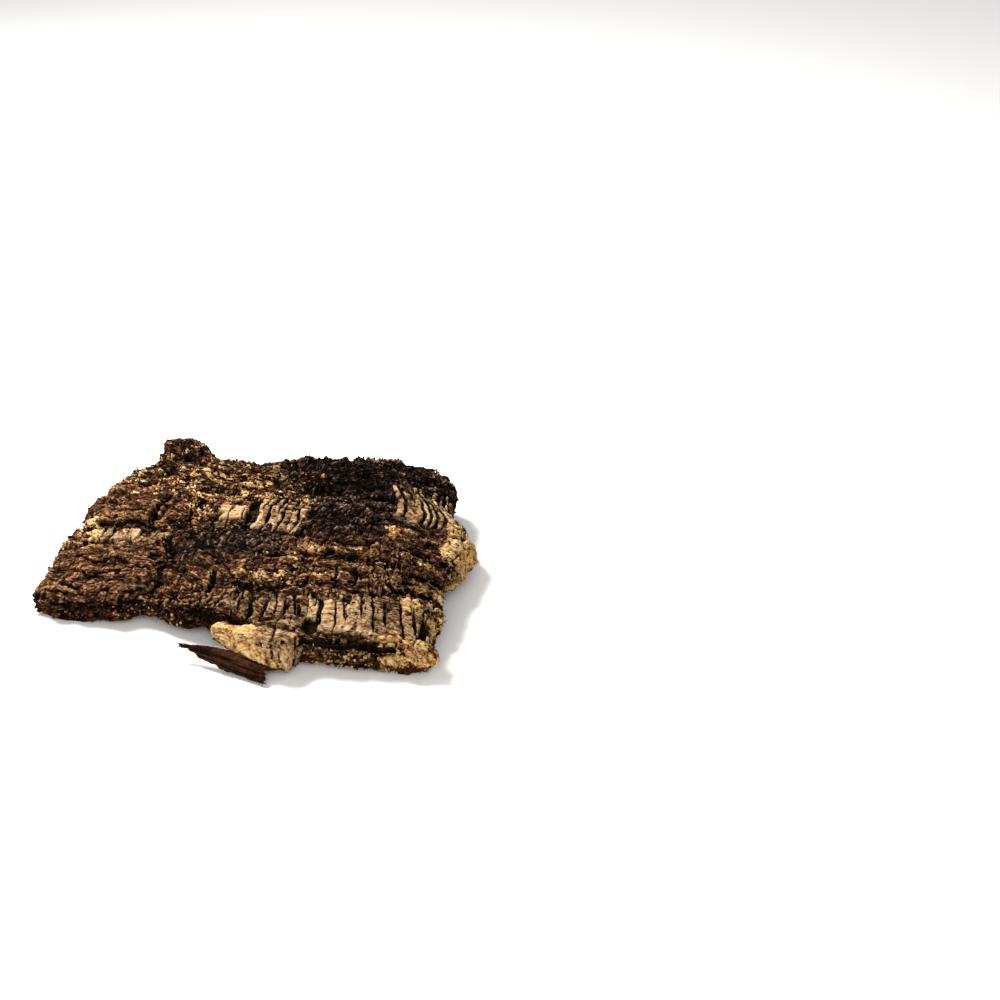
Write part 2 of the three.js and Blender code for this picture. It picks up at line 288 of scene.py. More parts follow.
MOUNDS = (
    ((-68, 56), (22, 13), 7.0),
    ((-98, -16), (11, 11), 4.0),
    ((60, -66), (46, 9), 3.0),
    ((100, 12), (9, 22), 2.5),
)
RIM_REACH = 5.0
RIM_DROP = 2.5
RAGGED = 3.2
RAGGED_REACH = 14.0
FRAYED = 1.1
# Numbers of the tear of the bark face's rim and of the inner face's.
BARK_TEAR = 11
INNER_TEAR = 12
CRUMBLE = 2.6
UNDERCUT = 0.012
INNER_RIPPLE = 0.7
SOLID_CELLS = (68, 44)
SOLID_WALL_ROWS = 3

# Where each look is, on the plan of the bark face.
PALE_PATCHES = (
    Patch((74, -69), (34, 13), 6, 0.15),
    Patch((18, -64), (26, 9), -4, 0.2),
    Patch((-20, 2), (9, 5), 0, 0.2),
    Patch((5, 10), (13, 16), 0, 0.2),
    Patch((78, 36), (15, 18), 8, 0.2),
    Patch((-74, -14), (22, 5), 0, 0.3, 0.75),
)
TAN_PATCHES = (
    Patch((104, 10), (8, 18), 0, 0.5, 0.9),
    Patch((106, -44), (5, 12), 0, 0.5, 0.85),
    Patch((98, -82), (15, 6), 0, 0.5, 0.8),
    Patch((-104, -16), (9, 10), 0, 0.5, 0.5),
    Patch((72, 4), (8, 4), 30, 0.5, 0.6),
    Patch((18, -49), (19, 4), 4, 0.9, 0.26),
    Patch((50, -36), (40, 12), 4, 0.9, 0.16),
    Patch((-66, 58), (15, 10), 0, 0.7, 0.32),
    Patch((-36, 34), (46, 20), 0, 0.9, 0.3),
    Patch((-40, 6), (9, 7), 0, 0.9, 0.3),
    Patch((93, -53), (4, 6), 0, 0.5, 0.9),
    Patch((-94, -15), (4, 6), 10, 0.4, 0.8),
)
# The dark crust. Its first patch, at the back, is made darker partly as painted shadow.
CRUST_AND_SHADOW_PATCHES = (
    Patch((40, 56), (54, 30), 0, 0.6, 1.0, 0.8),
    Patch((42, 12), (34, 24), 10, 0.6, 0.7, 0.9),
    Patch((-14, -22), (32, 16), 12, 0.7, 0.55, 0.9),
)
FIBROUS_PATCHES = (
    Patch((-78, -46), (36, 22), 0, 0.2),
    Patch((-80, 8), (24, 18), 0, 0.2),
    Patch((-24, -42), (26, 20), 0, 0.3, 0.6),
    Patch((-30, 30), (26, 16), 0, 0.5, 0.5),
)


@dataclass(frozen=True)
class Shelf:
    """A layer that still lies on the bark face, with a broken edge all round. In millimetres."""

    outline: tuple[tuple[float, float], ...]
    height: float
    # Width of the edge. A narrow one stands steep.
    edge: float = 1.4

    def rise(self, x: Array, y: Array) -> Array:
        """Work out how far the shelf lifts the bark face.

        Args:
            x: Places along the trunk, in millimetres.
            y: Places across it.

        Returns:
            Heights in millimetres.
        """
        ends = self.outline[1:] + self.outline[:1]
        inside = np.zeros(x.shape, bool)
        for (ax, ay), (bx, by) in zip(self.outline, ends):
            if ay != by:
                inside ^= ((ay > y) != (by > y)) & (x < ax + (y - ay) * (bx - ax) / (by - ay))
        away = Furrow(self.outline + self.outline[:1], 0, 0).distance(x, y)
        depth = np.where(inside, away, -away) + 0.9 * rough(x / 5, y / 4, 123)
        return self.height * smooth_step(depth, 0, self.edge)


SHELVES = (
    Shelf(((-118, -30), (-104, -31), (-93, -28), (-76, -25), (-62, -25), (-52, -24), (-48, -29),
           (-46, -39), (-51, -44), (-45, -51), (-48, -57), (-60, -63), (-66, -74), (-118, -76)), 3.4),
    Shelf(((-116, -7), (-98, -9), (-86, -9), (-74, -8), (-67, -8), (-68, 0), (-67, 8), (-64, 14),
           (-67, 24), (-90, 27), (-116, 24)), 2.6),
    Shelf(((-62, -8), (-48, -6), (-44, 4), (-42, 16), (-50, 24), (-62, 22)), 1.8),
    Shelf(((-40, -12), (-26, -29), (-13, -38), (0, -47), (10, -40), (0, -22), (-16, -8)), 1.6, 2.0),
    Shelf(((34, -30), (70, -30), (98, -24), (100, -6), (70, -8), (40, -14)), 1.6, 3.0),
)
# Dark creases and cracks of the bark face.
CREASES = (
    Furrow(((-104, -36), (-96, -38), (-86, -42), (-76, -40), (-66, -42)), 2.0, 0.9),
    Furrow(((-108, -47), (-96, -46), (-87, -52), (-77, -50), (-66, -49), (-59, -46), (-50, -50)),
           2.6, 0.9),
    Furrow(((-105, -56), (-91, -60), (-79, -59), (-68, -54), (-54, -55)), 2.4, 0.9),
    Furrow(((-104, -64), (-95, -63), (-85, -65), (-78, -66), (-68, -60)), 2.0, 0.9),
    Furrow(((-50, -21), (-45, -29), (-43.5, -39), (-48, -45), (-42, -52), (-46, -59), (-58, -66)),
           2.4, 1.3),
    Furrow(((-100, -22), (-90, -21), (-78, -20), (-69, -22), (-58, -20)), 2.4, 1.0),
    Furrow(((-62, 16), (-65, 9), (-67, 3), (-66, -4), (-64, -9), (-63, -16)), 3.6, 1.1),
    Furrow(((-42, -2), (-34, -4), (-27, -1)), 3.2, 1.8),
    Furrow(((-42, -14), (-27, -31), (-14, -40), (-3, -50)), 1.6, 1.0),
    Furrow(((-14, -50), (-15, -64), (-16, -72)), 2.0, 0.8),
    Furrow(((7, -52), (11, -62), (14, -76)), 3.2, 1.0),
    Furrow(((33, -60), (38, -66), (39, -73)), 2.4, 0.9),
    Furrow(((44, -60), (51, -68), (51, -79)), 2.6, 1.0),
    Furrow(((103, -42), (92, -41), (84, -44), (77, -51), (60, -54)), 2.6, 1.4),
    Furrow(((37, -20), (43, 3), (52, 18)), 1.6, 1.0),
    Furrow(((24, -22), (30, -4), (40, 12)), 1.2, 0.8),
)
# Hollows in which the bark has fallen out, with their depth as the strength.
HOLLOWS = (
    Patch((-35, -3), (5, 3), 0, 0.5, 3.0, 0.5),
    Patch((-22, 19), (9, 3), 0, 0.5, 3.4, 0.5),
    Patch((-10, 7), (3.2, 15), 8, 0.4, 4.0, 0.6),
    Patch((-51, -38), (5, 3), 0, 0.4, 3.0, 0.5),
    Patch((52, 34), (8, 5), 20, 0.5, 3.0, 0.5),
    Patch((48, -79), (4, 4), 0, 0.4, 4.5, 0.5),
    Patch((104, -70), (2.5, 9), 0, 0.4, 4.0, 0.5),
    Patch((-14, -56), (1.6, 9), 0, 0.4, 3.0, 0.6),
    Patch((4, -60), (1.6, 9), 0, 0.4, 3.0, 0.6),
    Patch((14, -34), (7, 3), 10, 0.6, 2.5, 0.5),
    Patch((-34, -16), (6, 4), 0, 0.6, 2.5, 0.5),
)


def net_height(net: Array, x: Array, y: Array) -> Array:
    """Follow the smooth surface through a net of five by five values.

    Args:
        net: The values, as [across][along].
        x: Places along the trunk, in millimetres.
        y: Places across it.

    Returns:
        The surface's values there.
    """
    last = len(net) - 1
    spans = [np.clip((value - start) / step, 0, last - 0.001)
             for value, start, step in zip((x, y), NET_START, NET_STEP)]
    i, j = (np.floor(span).astype(int) for span in spans)

    def along(row: Array) -> Array:
        """Return the height along one row of the net."""
        near = [net[row, np.clip(i + k, 0, last)] for k in (-1, 0, 1, 2)]
        return catmull_rom(*near, spans[0] - i)

    return catmull_rom(*(along(np.clip(j + k, 0, last)) for k in (-1, 0, 1, 2)), spans[1] - j)


def plan_point(s: Array, t: Array) -> tuple[Array, Array]:
    """Find places in the slab's outline.

    Args:
        s: Fractions along the trunk, from 0 to 1.
        t: Fractions across it.

    Returns:
        The places in plan, in millimetres.
    """
    s, t = np.broadcast_arrays(s, t)
    front, back = spline(EDGES["front"], s), spline(EDGES["back"], s)
    left, right = spline(EDGES["left"], t), spline(EDGES["right"], t)
    a, b = s[..., None], t[..., None]
    mix = front * (1 - b) + back * b + left * (1 - a) + right * a
    mix -= (1 - b) * (EDGES["front"][0] * (1 - a) + EDGES["front"][-1] * a)
    mix -= b * (EDGES["back"][0] * (1 - a) + EDGES["back"][-1] * a)
    return mix[..., 0], mix[..., 1]


def rim_distance(s: Array, t: Array) -> Array:
    """Return the distance to the rim, near enough."""
    return np.minimum(np.minimum(s, 1 - s) * MEAN_LENGTH, np.minimum(t, 1 - t) * MEAN_WIDTH)


def rim_drop(s: Array, t: Array) -> Array:
    """Return how far the bark face is rounded down at the rim."""
    return RIM_DROP * np.maximum(0, 1 - rim_distance(s, t) / RIM_REACH) ** 2


def torn_plan(s: Array, t: Array, seed: float) -> tuple[Array, Array]:
    """Find places in the outline with its rim torn, coarsely as the solid and finely on top.

    Args:
        s: Fractions along the trunk, from 0 to 1.
        t: Fractions across it.
        seed: Number of the tear.

    Returns:
        The places in plan, in millimetres.
    """
    x, y = plan_point(s, t)
    d = rim_distance(s, t)
    coarse = RAGGED * np.maximum(0, 1 - d / RAGGED_REACH)
    fine = FRAYED * np.maximum(0, 1 - d / RIM_REACH)
    return (x + coarse * rough(x / 8, y / 8, seed) + fine * rough(x / 2.4, y / 2.4, seed + 20),
            y + coarse * rough(x / 8, y / 8, seed + 5) + fine * rough(x / 2.4, y / 2.4, seed + 25))


def solid_relief(x: Array, y: Array) -> Array:
    """Work out the relief that the solid has: steps, blocks, crust, mounds and furrows.

    Args:
        x: Places along the trunk, in millimetres.
        y: Places across it.

    Returns:
        Heights in millimetres.
    """
    warped = (y + 6 * rough(x / 55, y / 40, 1) + 1.5 * noise(x / 12, y / 12, 2)) / STEP_WIDTH
    band = np.floor(warped)
    f = warped - band
    riser = np.where(f < STEP_RISER, f / STEP_RISER, 1 - (f - STEP_RISER) / (1 - STEP_RISER))
    step = STEP_HEIGHT * (0.5 + 0.5 * cell_hash(band, 0, 3)) * (0.6 + 0.4 * noise(x / 30, band, 4))
    shift = 7 * cell_hash(band, 1, 3) + 0.25 * noise(y / 6, x / 9, 6)
    block = np.floor(x / BLOCK_LENGTH + shift)
    mounds = sum(height * np.exp(-((x - at[0]) / half[0]) ** 2 - ((y - at[1]) / half[1]) ** 2)
                 for at, half, height in MOUNDS)
    ragged = 1 + 0.45 * rough(x / 9, y / 9, 5)
    furrows = np.max([f.depth * np.exp(-(f.distance(x, y) / (f.width * ragged)) ** 2)
                      for f in FURROWS], axis=0)
    return (riser * step - 0.4 * STEP_HEIGHT + BLOCK_HEIGHT * (cell_hash(block, band, 7) - 0.5)
            + CRUST_HEIGHT * rough(x / 15, y / 11, 8) + mounds - furrows)


@dataclass(frozen=True)
class FineRelief:
    """The relief too fine for the solid. Each height is of one kind, in millimetres."""

    # What follows the growth layers.
    ledge: float = 1.9
    fold: float = 1.7
    rib: float = 0.32
    streak: float = 0.25
    # What is broken.
    strand: float = 1.3
    crumb: float = 1.4
    crumb_joint: float = 0.9
    grit: float = 0.75
    grit_joint: float = 0.15
    pit: float = 2.6
    crack: float = 2.0
    fold_spacing: float = 7.5
    # Turn of the strands and the grit away from the trunk, as its cosine and sine.
    slant: Pair = (0.53, 0.85)

    def layered(self, x: Array, y: Array, crust: Array, fibrous: Array) -> Array:
        """Add up what follows the growth layers.

        Args:
            x: Places along the trunk, in millimetres.
            y: Places across it.
            crust: How dark the crust is there, partly as painted shadow, from 0 to 1.
            fibrous: How fibrous the bark is there, from 0 to 1.

        Returns:
            Heights in millimetres.
        """
        layer, own, front = growth_layers(x, y)
        ledges = (0.4 + self.ledge * own ** 2) * (smooth_step(front, 0.0, 0.2) - front)
        wander = 9 * rough(x / 34, y / 22, 53) + 1.1 * rough(x / 8, y / 6, 54)
        folded = (y + 0.22 * x + wander) / self.fold_spacing
        fold = np.floor(folded)
        part = folded - fold
        height = np.clip(0.45 + 1.1 * noise(x / 17 + 3.3 * fold, 1.7 * fold, 55), 0, 1.3)
        folds = self.fold * height * (smooth_step(part, 0, 0.2) * (1 - part) ** 0.8)
        ribs = self.rib * noise(x / 1.0 + noise(x / 5, y / 4, 43), y / 4.5 + layer, 44)
        drifted = (y + 2.5 * noise(x / 12, y / 9, 60)) / 1.3
        streaks = self.streak * noise(x / 6 + noise(x / 9, y / 7, 59), drifted, 61)
        return ledges * (1 - 0.7 * fibrous - 0.3 * crust) + folds * fibrous + ribs + streaks

    def broken(self, x: Array, y: Array, crust: Array, fibrous: Array) -> Array:
        """Add up the strands, crumbs, grit, pits and cracks.

        Args:
            x: Places along the trunk, in millimetres.
            y: Places across it.
            crust: How dark the crust is there, partly as painted shadow, from 0 to 1.
            fibrous: How fibrous the bark is there, from 0 to 1.

        Returns:
            Heights in millimetres.
        """
        along = self.slant[0] * x + self.slant[1] * y
        aside = self.slant[0] * y - self.slant[1] * x
        ridge = rough(along / 14, (aside + 2 * rough(x / 9, y / 9, 56)) / 3.2, 57)
        strands = self.strand * (0.6 - np.abs(ridge) * 1.6)
        border, lone = cells(x / 5.5 + 0.5 * rough(x / 3, y / 3, 45),
                             y / 3.4 + 0.4 * rough(x / 4, y / 3, 58), 46)
        crumbs = self.crumb * (lone - 0.5) - self.crumb_joint * (1 - smooth_step(border, 0.02, 0.12))
        border, lone = cells(along / 4.2 + 0.4 * noise(x / 2, y / 2, 47),
                             aside / 1.4 + 0.4 * rough(x / 6, y / 6, 62), 48)
        grit = self.grit * (lone - 0.5) - self.grit_joint * (1 - smooth_step(border, 0.02, 0.2))
        pits = -self.pit * smooth_step(rough(x / 6, y / 4.2, 49), 0.34, 0.44)
        cracks = -self.crack * (1 - smooth_step(np.abs(rough(x / 11, y / 22, 52)), 0.02, 0.07))
        coarse = (1 - fibrous) * smooth_step(rough(x / 20, y / 14, 50) + 0.25 * crust, 0.0, 0.45)
        strands = strands * (1 - fibrous) * (1 - 0.6 * coarse + 0.5 * crust)
        return (strands + cracks * (1 - 0.6 * fibrous)
                + coarse * (1 - 0.5 * crust) * (crumbs + 0.5 * pits) + 0.5 * (1 - fibrous) * pits
                + (0.35 + 0.4 * coarse + 0.25 * crust) * (1 - 0.7 * fibrous) * grit)


# Distance between the outcrops of two growth layers, across the trunk.
LAYER_SPACING = 3.4
# How much of the solid's own steps the bark keeps below its finer relief.
KEPT_RELIEF = 0.7


def growth_layers(x: Array, y: Array) -> tuple[Array, Array, Array]:
    """Find the growth layer that comes out at each place.

    Args:
        x: Places along the trunk, in millimetres.
        y: Places across it.

    Returns:
        The layer's number, the outcrop's own number from 0 to 1, which changes where the layer
        breaks off, and the place from 0 at its front edge to 1 at the next one's foot.
    """
    drift = 5.0 * rough(x / 34, y / 14, 41) + 1.3 * rough(x / 8, y / 5, 42)
    place = (y + 0.1 * x + drift) / LAYER_SPACING
    layer = np.floor(place)
    piece = np.floor(x / 11 + 5 * cell_hash(layer, 1, 40) + 0.4 * noise(x / 3, y / 2, 39))
    return layer, cell_hash(layer, piece, 38), place - layer


def hollow_depth(x: Array, y: Array) -> Array:
    """Work out how deep the fallen-out hollows and the creases are.

    Args:
        x: Places along the trunk, in millimetres.
        y: Places across it.

    Returns:
        Depths in millimetres.
    """
    bent_x, bent_y = x + 1.2 * noise(x / 4, y / 4, 151), y + 1.2 * noise(x / 4, y / 4, 152)
    ragged = 1 + 0.5 * noise(x / 5, y / 5, 153)
    creases = [crease.depth * np.exp(-(crease.distance(bent_x, bent_y) / (crease.width * ragged)) ** 2)
               for crease in CREASES]
    return np.maximum(cover(HOLLOWS, x, y, 131), np.max(creases, axis=0))


def broad_form(x: Array, y: Array) -> Array:
    """Return the height of the bark face without its fine relief and hollows."""
    return (net_height(BARK_HEIGHT, x, y) + KEPT_RELIEF * solid_relief(x, y)
            + np.max([shelf.rise(x, y) for shelf in SHELVES], axis=0) - 0.4)


def even_form(x: Array, y: Array) -> Array:
    """Return the broad form, evened out."""
    return np.mean([broad_form(x + a, y + b) for a in (-4, 0, 4) for b in (-4, 0, 4)], axis=0)


class BarkMesh:
    """Points, faces and masks of one closed piece, as it is put together, in millimetres."""

    def __init__(self, name: str) -> None:
        """Start an empty piece.

        Args:
            name: Name of the object that it becomes.
        """
        self.name = name
        self.points: list[Array] = []
        self.quads: list[Array] = []
        self.triangles: list[Array] = []
        self.masks: dict[Mask, list[Array]] = {mask: [] for mask in Mask}
        self.count = 0

    def add(self, points: Array, look: Look | None = None) -> Array:
        """Add points.

        Args:
            points: The points, in an array of any shape.
            look: Their masks. One that isn't given is 0.

        Returns:
            Their numbers, in the same shape.
        """
        shape = points.shape[:-1]
        number = int(np.prod(shape))
        self.points.append(points.reshape(-1, 3))
        for mask in Mask:
            value = (look or {}).get(mask, 0.0)
            self.masks[mask].append(np.broadcast_to(value, shape).reshape(-1).astype(np.float32))
        numbers = self.count + np.arange(number).reshape(shape)
        self.count += number
        return numbers

    def grid(self, numbers: Array, flip: bool = False) -> None:
        """Add the quads between the points of a grid.

        Args:
            numbers: The points' numbers, as [row][column].
            flip: Whether the quads face against the first axis x the second.
        """
        a, b = numbers[:-1, :-1], numbers[1:, :-1]
        c, d = numbers[1:, 1:], numbers[:-1, 1:]
        quad = np.stack([a, b, c, d] if not flip else [a, d, c, b], axis=-1)
        self.quads.append(quad.reshape(-1, 4))

    def shell(self, top: Array, bottom: Array) -> None:
        """Add the quads of a closed shell.

        Args:
            top: Numbers of its upper points, as a grid.
            bottom: Numbers of its lower points, as a grid of the same shape.
        """
        self.grid(top)
        self.grid(bottom, flip=True)
        around = [np.concatenate([side[:-1, 0], side[-1, :-1], side[:0:-1, -1], side[0, ::-1]])
                  for side in (top, bottom)]
        self.grid(np.stack(around))

    def build(self, finish: bpy.types.Material, smooth: bool = True) -> bpy.types.Object:
        """Make the object, with its masks as attributes.

        Args:
            finish: Material of the piece.
            smooth: Whether its faces are shaded smooth.

        Returns:
            The object, at the origin.
        """
        points = (np.concatenate(self.points) - MIDDLE) * MM
        faces = [part for part in self.quads + self.triangles if len(part)]
        sizes = np.concatenate([np.full(len(part), part.shape[1]) for part in faces])
        corners = np.concatenate([part.reshape(-1) for part in faces])
        mesh = bpy.data.meshes.new(self.name)
        mesh.vertices.add(len(points))
        mesh.vertices.foreach_set("co", points.reshape(-1).astype(np.float32))
        mesh.loops.add(len(corners))
        mesh.loops.foreach_set("vertex_index", corners.astype(np.int32))
        mesh.polygons.add(len(sizes))
        starts = np.concatenate([[0], np.cumsum(sizes)[:-1]])
        mesh.polygons.foreach_set("loop_start", starts.astype(np.int32))
        mesh.polygons.foreach_set("use_smooth", np.full(len(sizes), smooth))
        for mask, values in self.masks.items():
            layer = mesh.attributes.new(mask.value, "FLOAT", "POINT")
            layer.data.foreach_set("value", np.concatenate(values))
        mesh.update(calc_edges=True)
        mesh.validate()
        mesh.materials.append(finish)
        piece = bpy.data.objects.new(self.name, mesh)
        bpy.context.collection.objects.link(piece)
        return piece


def blurred(field: Array, reach: int) -> Array:
    """Smooth a field over a square of cells, three times over.

    Args:
        field: Values on a grid.
        reach: Cells from the middle of the square to its side.

    Returns:
        The smoothed values, on the same grid.
    """
    for _ in range(3):
        for axis in (0, 1):
            pad = [(reach, reach) if axis == k else (0, 0) for k in (0, 1)]
            total = np.cumsum(np.pad(field, pad, mode="edge"), axis=axis)
            total = np.insert(total, 0, 0, axis=axis)
            width = 2 * reach + 1
            high = np.take(total, range(width, total.shape[axis]), axis=axis)
            low = np.take(total, range(total.shape[axis] - width), axis=axis)
            field = (high - low) / width
    return field


@dataclass
class Slab:
    """The bark slab: its bark face, torn wall and smooth inner face as one closed surface."""

    # Cells along the trunk and across it, and rows of the wall between the two faces.
    along: int = 339
    across: int = 198
    wall_rows: int = 15
    # Cells of the bark face to one of the inner face.
    inner_step: int = 3
    relief: FineRelief = FineRelief()
    name: str = "cork_slab"

    def look_at(self, x: Array, y: Array) -> Look:
        """Work out the masks that depend on the place in plan alone.

        Args:
            x: Places along the trunk, in millimetres.
            y: Places across it.

        Returns:
            The masks there.
        """
        pale = cover(PALE_PATCHES, x, y, 61)
        tan = cover(TAN_PATCHES, x, y, 71)
        crust = cover(CRUST_AND_SHADOW_PATCHES, x, y, 81) * (1 - pale)
        return {Mask.PALE: pale, Mask.TAN: tan, Mask.CRUST_AND_PAINTED_SHADOW: crust, Mask.RUST: np.zeros(x.shape)}

    def bark(self) -> "BarkFace":
        """Shape the bark face.

        Returns:
            The face, whose arrays are [along][across].
        """
        s = (np.arange(self.along + 1) / self.along)[:, None]
        t = (np.arange(self.across + 1) / self.across)[None, :]
        s, t = np.broadcast_arrays(s, t)
        x, y = torn_plan(s, t, BARK_TEAR)
        look = self.look_at(x, y)
        fibrous = cover(FIBROUS_PATCHES, x, y, 91)
        fine = sum(part(x, y, look[Mask.CRUST_AND_PAINTED_SHADOW], fibrous)
                   for part in (self.relief.layered, self.relief.broken))
        fallen = hollow_depth(x, y)
        z = broad_form(x, y) - rim_drop(s, t) + fine - fallen
        under = look[Mask.PALE]
        z = z + under * (even_form(x, y) - rim_drop(s, t) + 0.6 * fine - PLATE_BED - fallen - z)
        # Painted shade where the face lies below its smoothed self, in hollows, creases and where bark
        # fell out, and a painted highlight where it stands above it. Fibrous bark is also a little
        # lighter all over.
        near, wide = blurred(z, 1), blurred(z, 4)
        hollow = 0.7 * (near - z) + 0.5 * (wide - z)
        look[Mask.PAINTED_SHADE_AND_DARK_TONE] = np.clip(hollow / 0.9 - 0.15 + 0.3 * fallen, 0, 1)
        look[Mask.EDGE] = np.clip(-hollow / 0.8 - 0.1, 0, 1) * (1 - 0.3 * fibrous) + 0.3 * fibrous
        look[Mask.PALE] = 0 * under
        _, lone = cells(x / 2.6, y / 1.8, 51)
        _, own, _ = growth_layers(x, y)
        look[Mask.TONE] = fibrous * own + (1 - fibrous) * (0.6 * lone + 0.4 * own)
        return BarkFace(np.stack([x, y, z], axis=-1), look, fibrous, under)

    def inner(self, s: Array, t: Array) -> Array:
        """Shape the inner face, flat on the rest spots and clear of the floor elsewhere.

        Args:
            s: Fractions along the trunk, from 0 to 1.
            t: Fractions across it.

        Returns:
            The points there, in millimetres.
        """
        within = 1 - 2 * UNDERCUT
        x, y = torn_plan(UNDERCUT + s * within, UNDERCUT + t * within, INNER_TEAR)
        ripple = INNER_RIPPLE * noise(x / 30, y / 7, 9) + 0.25 * rough(x / 12, y / 1.8, 13)
        grown = net_height(BARK_HEIGHT, x, y) - net_height(THICKNESS, x, y) + ripple
        z = np.maximum(FLOOR_GAP, grown)
        for spot_x, spot_y in REST_SPOTS:
            beyond = np.maximum(0, np.hypot(x - spot_x, y - spot_y) - REST_RADIUS)
            z = np.minimum(z, REST_CURL * beyond ** 2)
        return np.stack([x, y, z], axis=-1)

    def rim(self) -> Array:
        """List the cells of the rim.

        Returns:
            The cells in order round the slab, as rows of [along, across].
        """
        i, j = np.arange(self.along), np.arange(self.across)
        sides = [(i, 0 * i), (0 * j + self.along, j),
                 (self.along - i, 0 * i + self.across), (0 * j, self.across - j)]
        return np.concatenate([np.stack(side, axis=-1) for side in sides])

    def wall(self, upper: Array, lower: Array, rim: Array) -> tuple[Array, Look]:
        """Shape the torn wall between the two rims.

        Args:
            upper: Points of the bark face's rim.
            lower: Points of the inner face's rim.
            rim: Cells of the rim.

        Returns:
            Points as [row][place round the rim], and the masks there.
        """
        scale = np.array(SOLID_CELLS) / (self.along, self.across)
        solid_step = np.where(np.isin(rim[:, 1], (0, self.across)), scale[0], scale[1])
        solid_place = np.cumsum(solid_step) - solid_step[0]
        ahead, behind = np.roll(upper, -4, axis=0), np.roll(upper, 4, axis=0)
        out = np.stack([ahead[:, 1] - behind[:, 1], behind[:, 0] - ahead[:, 0]], axis=-1)
        out /= np.linalg.norm(out, axis=1, keepdims=True)
        w = (np.arange(1, self.wall_rows) / self.wall_rows)[:, None]
        arc = np.cumsum(np.linalg.norm(np.diff(upper[:, :2], axis=0, append=upper[:1, :2]), axis=1))
        depth = w * (upper[:, 2] - lower[:, 2])
        bulge = np.sin(math.pi * w) ** 0.6
        push = CRUMBLE * (rough(solid_place / 5, w * SOLID_WALL_ROWS * 1.7, 10) - 0.2)
        strata = rough(arc / 14, depth / 1.5 + 0.6 * rough(arc / 5, depth / 4, 14), 15)
        border, own = cells(arc / 2.6, depth / 1.5, 16)
        crumb = 1.5 * (own - 0.5) - 0.9 * (1 - smooth_step(border, 0.02, 0.25))
        push = push + bulge * (1.5 * strata + crumb)
        # Under the front row of plates the wall is torn back, and it stands out again below.
        lip = np.clip((upper[:, 0] - 45) / 12, 0, 1) * np.clip((100 - upper[:, 0]) / 8, 0, 1)
        lip = lip * (upper[:, 1] < -60)
        level = (w - 0.22 - 0.08 * rough(arc / 9, 0, 19)) / 0.13
        recess = lip * (0.8 + 0.7 * rough(arc / 7, 0, 20)) * np.exp(-level ** 2)
        push = push - 3.6 * recess + 1.6 * lip * smooth_step(w, 0.4, 0.6)
        points = (1 - w)[..., None] * upper + w[..., None] * lower
        points[..., :2] += push[..., None] * out
        look = self.look_at(points[..., 0], points[..., 1])
        look[Mask.TAN] = np.maximum(look[Mask.TAN], 0.45 * lip * (w > 0.35) * (w < 0.85))
        # Painted shade between the crumbs and in the recess under the plates, and a painted highlight
        # on the raised crumbs.
        look[Mask.PAINTED_SHADE_AND_DARK_TONE] = np.clip(0.2 - 0.45 * (strata + crumb) + recess, 0, 1)
        look[Mask.EDGE] = np.clip(0.5 * (strata + crumb), 0, 1)
        look[Mask.RUST] = smooth_step(w + 0.25 * rough(arc / 6, w * 3, 17), 0.55, 0.95)
        look[Mask.PALE] = look[Mask.PALE] * (w < 0.12)
        look[Mask.TONE] = own
        return points, look

    def fan(self, mesh: BarkMesh, rim: Array, rim_numbers: Array) -> None:
        """Add the inner face in coarse cells, which fan out to every point of the rim.

        Args:
            mesh: Mesh that the face is added to.
            rim: Cells of the rim.
            rim_numbers: Numbers of their points.
        """
        numbers = {tuple(cell): number for cell, number in zip(rim.tolist(), rim_numbers)}
        step = self.inner_step
        inside = [(i, j) for i in range(step, self.along, step) for j in range(step, self.across, step)]
        place = np.array(inside, float)
        points = self.inner(place[:, 0] / self.along, place[:, 1] / self.across)
        border, own = cells(points[:, 0] / 9, points[:, 1] / 2, 18)
        # Painted shade in the narrow cracks between the inner face's cells.
        look = {Mask.RUST: 1.0, Mask.TONE: own, Mask.PAINTED_SHADE_AND_DARK_TONE: 0.3 * (border < 0.1)}
        numbers.update(zip(inside, mesh.add(points, look)))
        triangles = []
        for i in range(0, self.along, step):
            for j in range(0, self.across, step):
                corners = [(i, j), (i, j + step), (i + step, j + step), (i + step, j)]
                loop = []
                for (a, b), (c, d) in zip(corners, corners[1:] + corners[:1]):
                    on_rim = (a == c and a in (0, self.along)) or (b == d and b in (0, self.across))
                    count = step if on_rim else 1
                    da, db = np.sign(c - a), np.sign(d - b)
                    loop += [(int(a + da * k), int(b + db * k)) for k in range(count)]
                start = next(k for k, (a, b) in enumerate(loop)
                             if 0 < a < self.along and 0 < b < self.across)
                fan = [numbers[cell] for cell in loop[start:] + loop[:start]]
                triangles += [(fan[0], fan[k], fan[k + 1]) for k in range(1, len(fan) - 1)]
        mesh.triangles.append(np.array(triangles))

    def build(self, face: "BarkFace", finish: bpy.types.Material) -> bpy.types.Object:
        """Make the slab under a bark face.

        Args:
            face: The bark face.
            finish: Material of the piece.

        Returns:
            The slab as one closed piece.
        """
        mesh = BarkMesh(self.name)
        bark = mesh.add(face.points, face.look)
        mesh.grid(bark)
        rim = self.rim()
        upper = face.points[rim[:, 0], rim[:, 1]]
        lower = self.inner(rim[:, 0] / self.along, rim[:, 1] / self.across)
        self.torn, torn_look = self.wall(upper, lower, rim)
        rows = mesh.add(self.torn, torn_look)
        lower_numbers = mesh.add(lower, {Mask.RUST: 1.0, Mask.TONE: 0.5})
        rows = np.concatenate([bark[rim[:, 0], rim[:, 1]][None], rows, lower_numbers[None]])
        mesh.grid(np.concatenate([rows, rows[:, :1]], axis=1))
        self.fan(mesh, rim, lower_numbers)
        return mesh.build(finish)


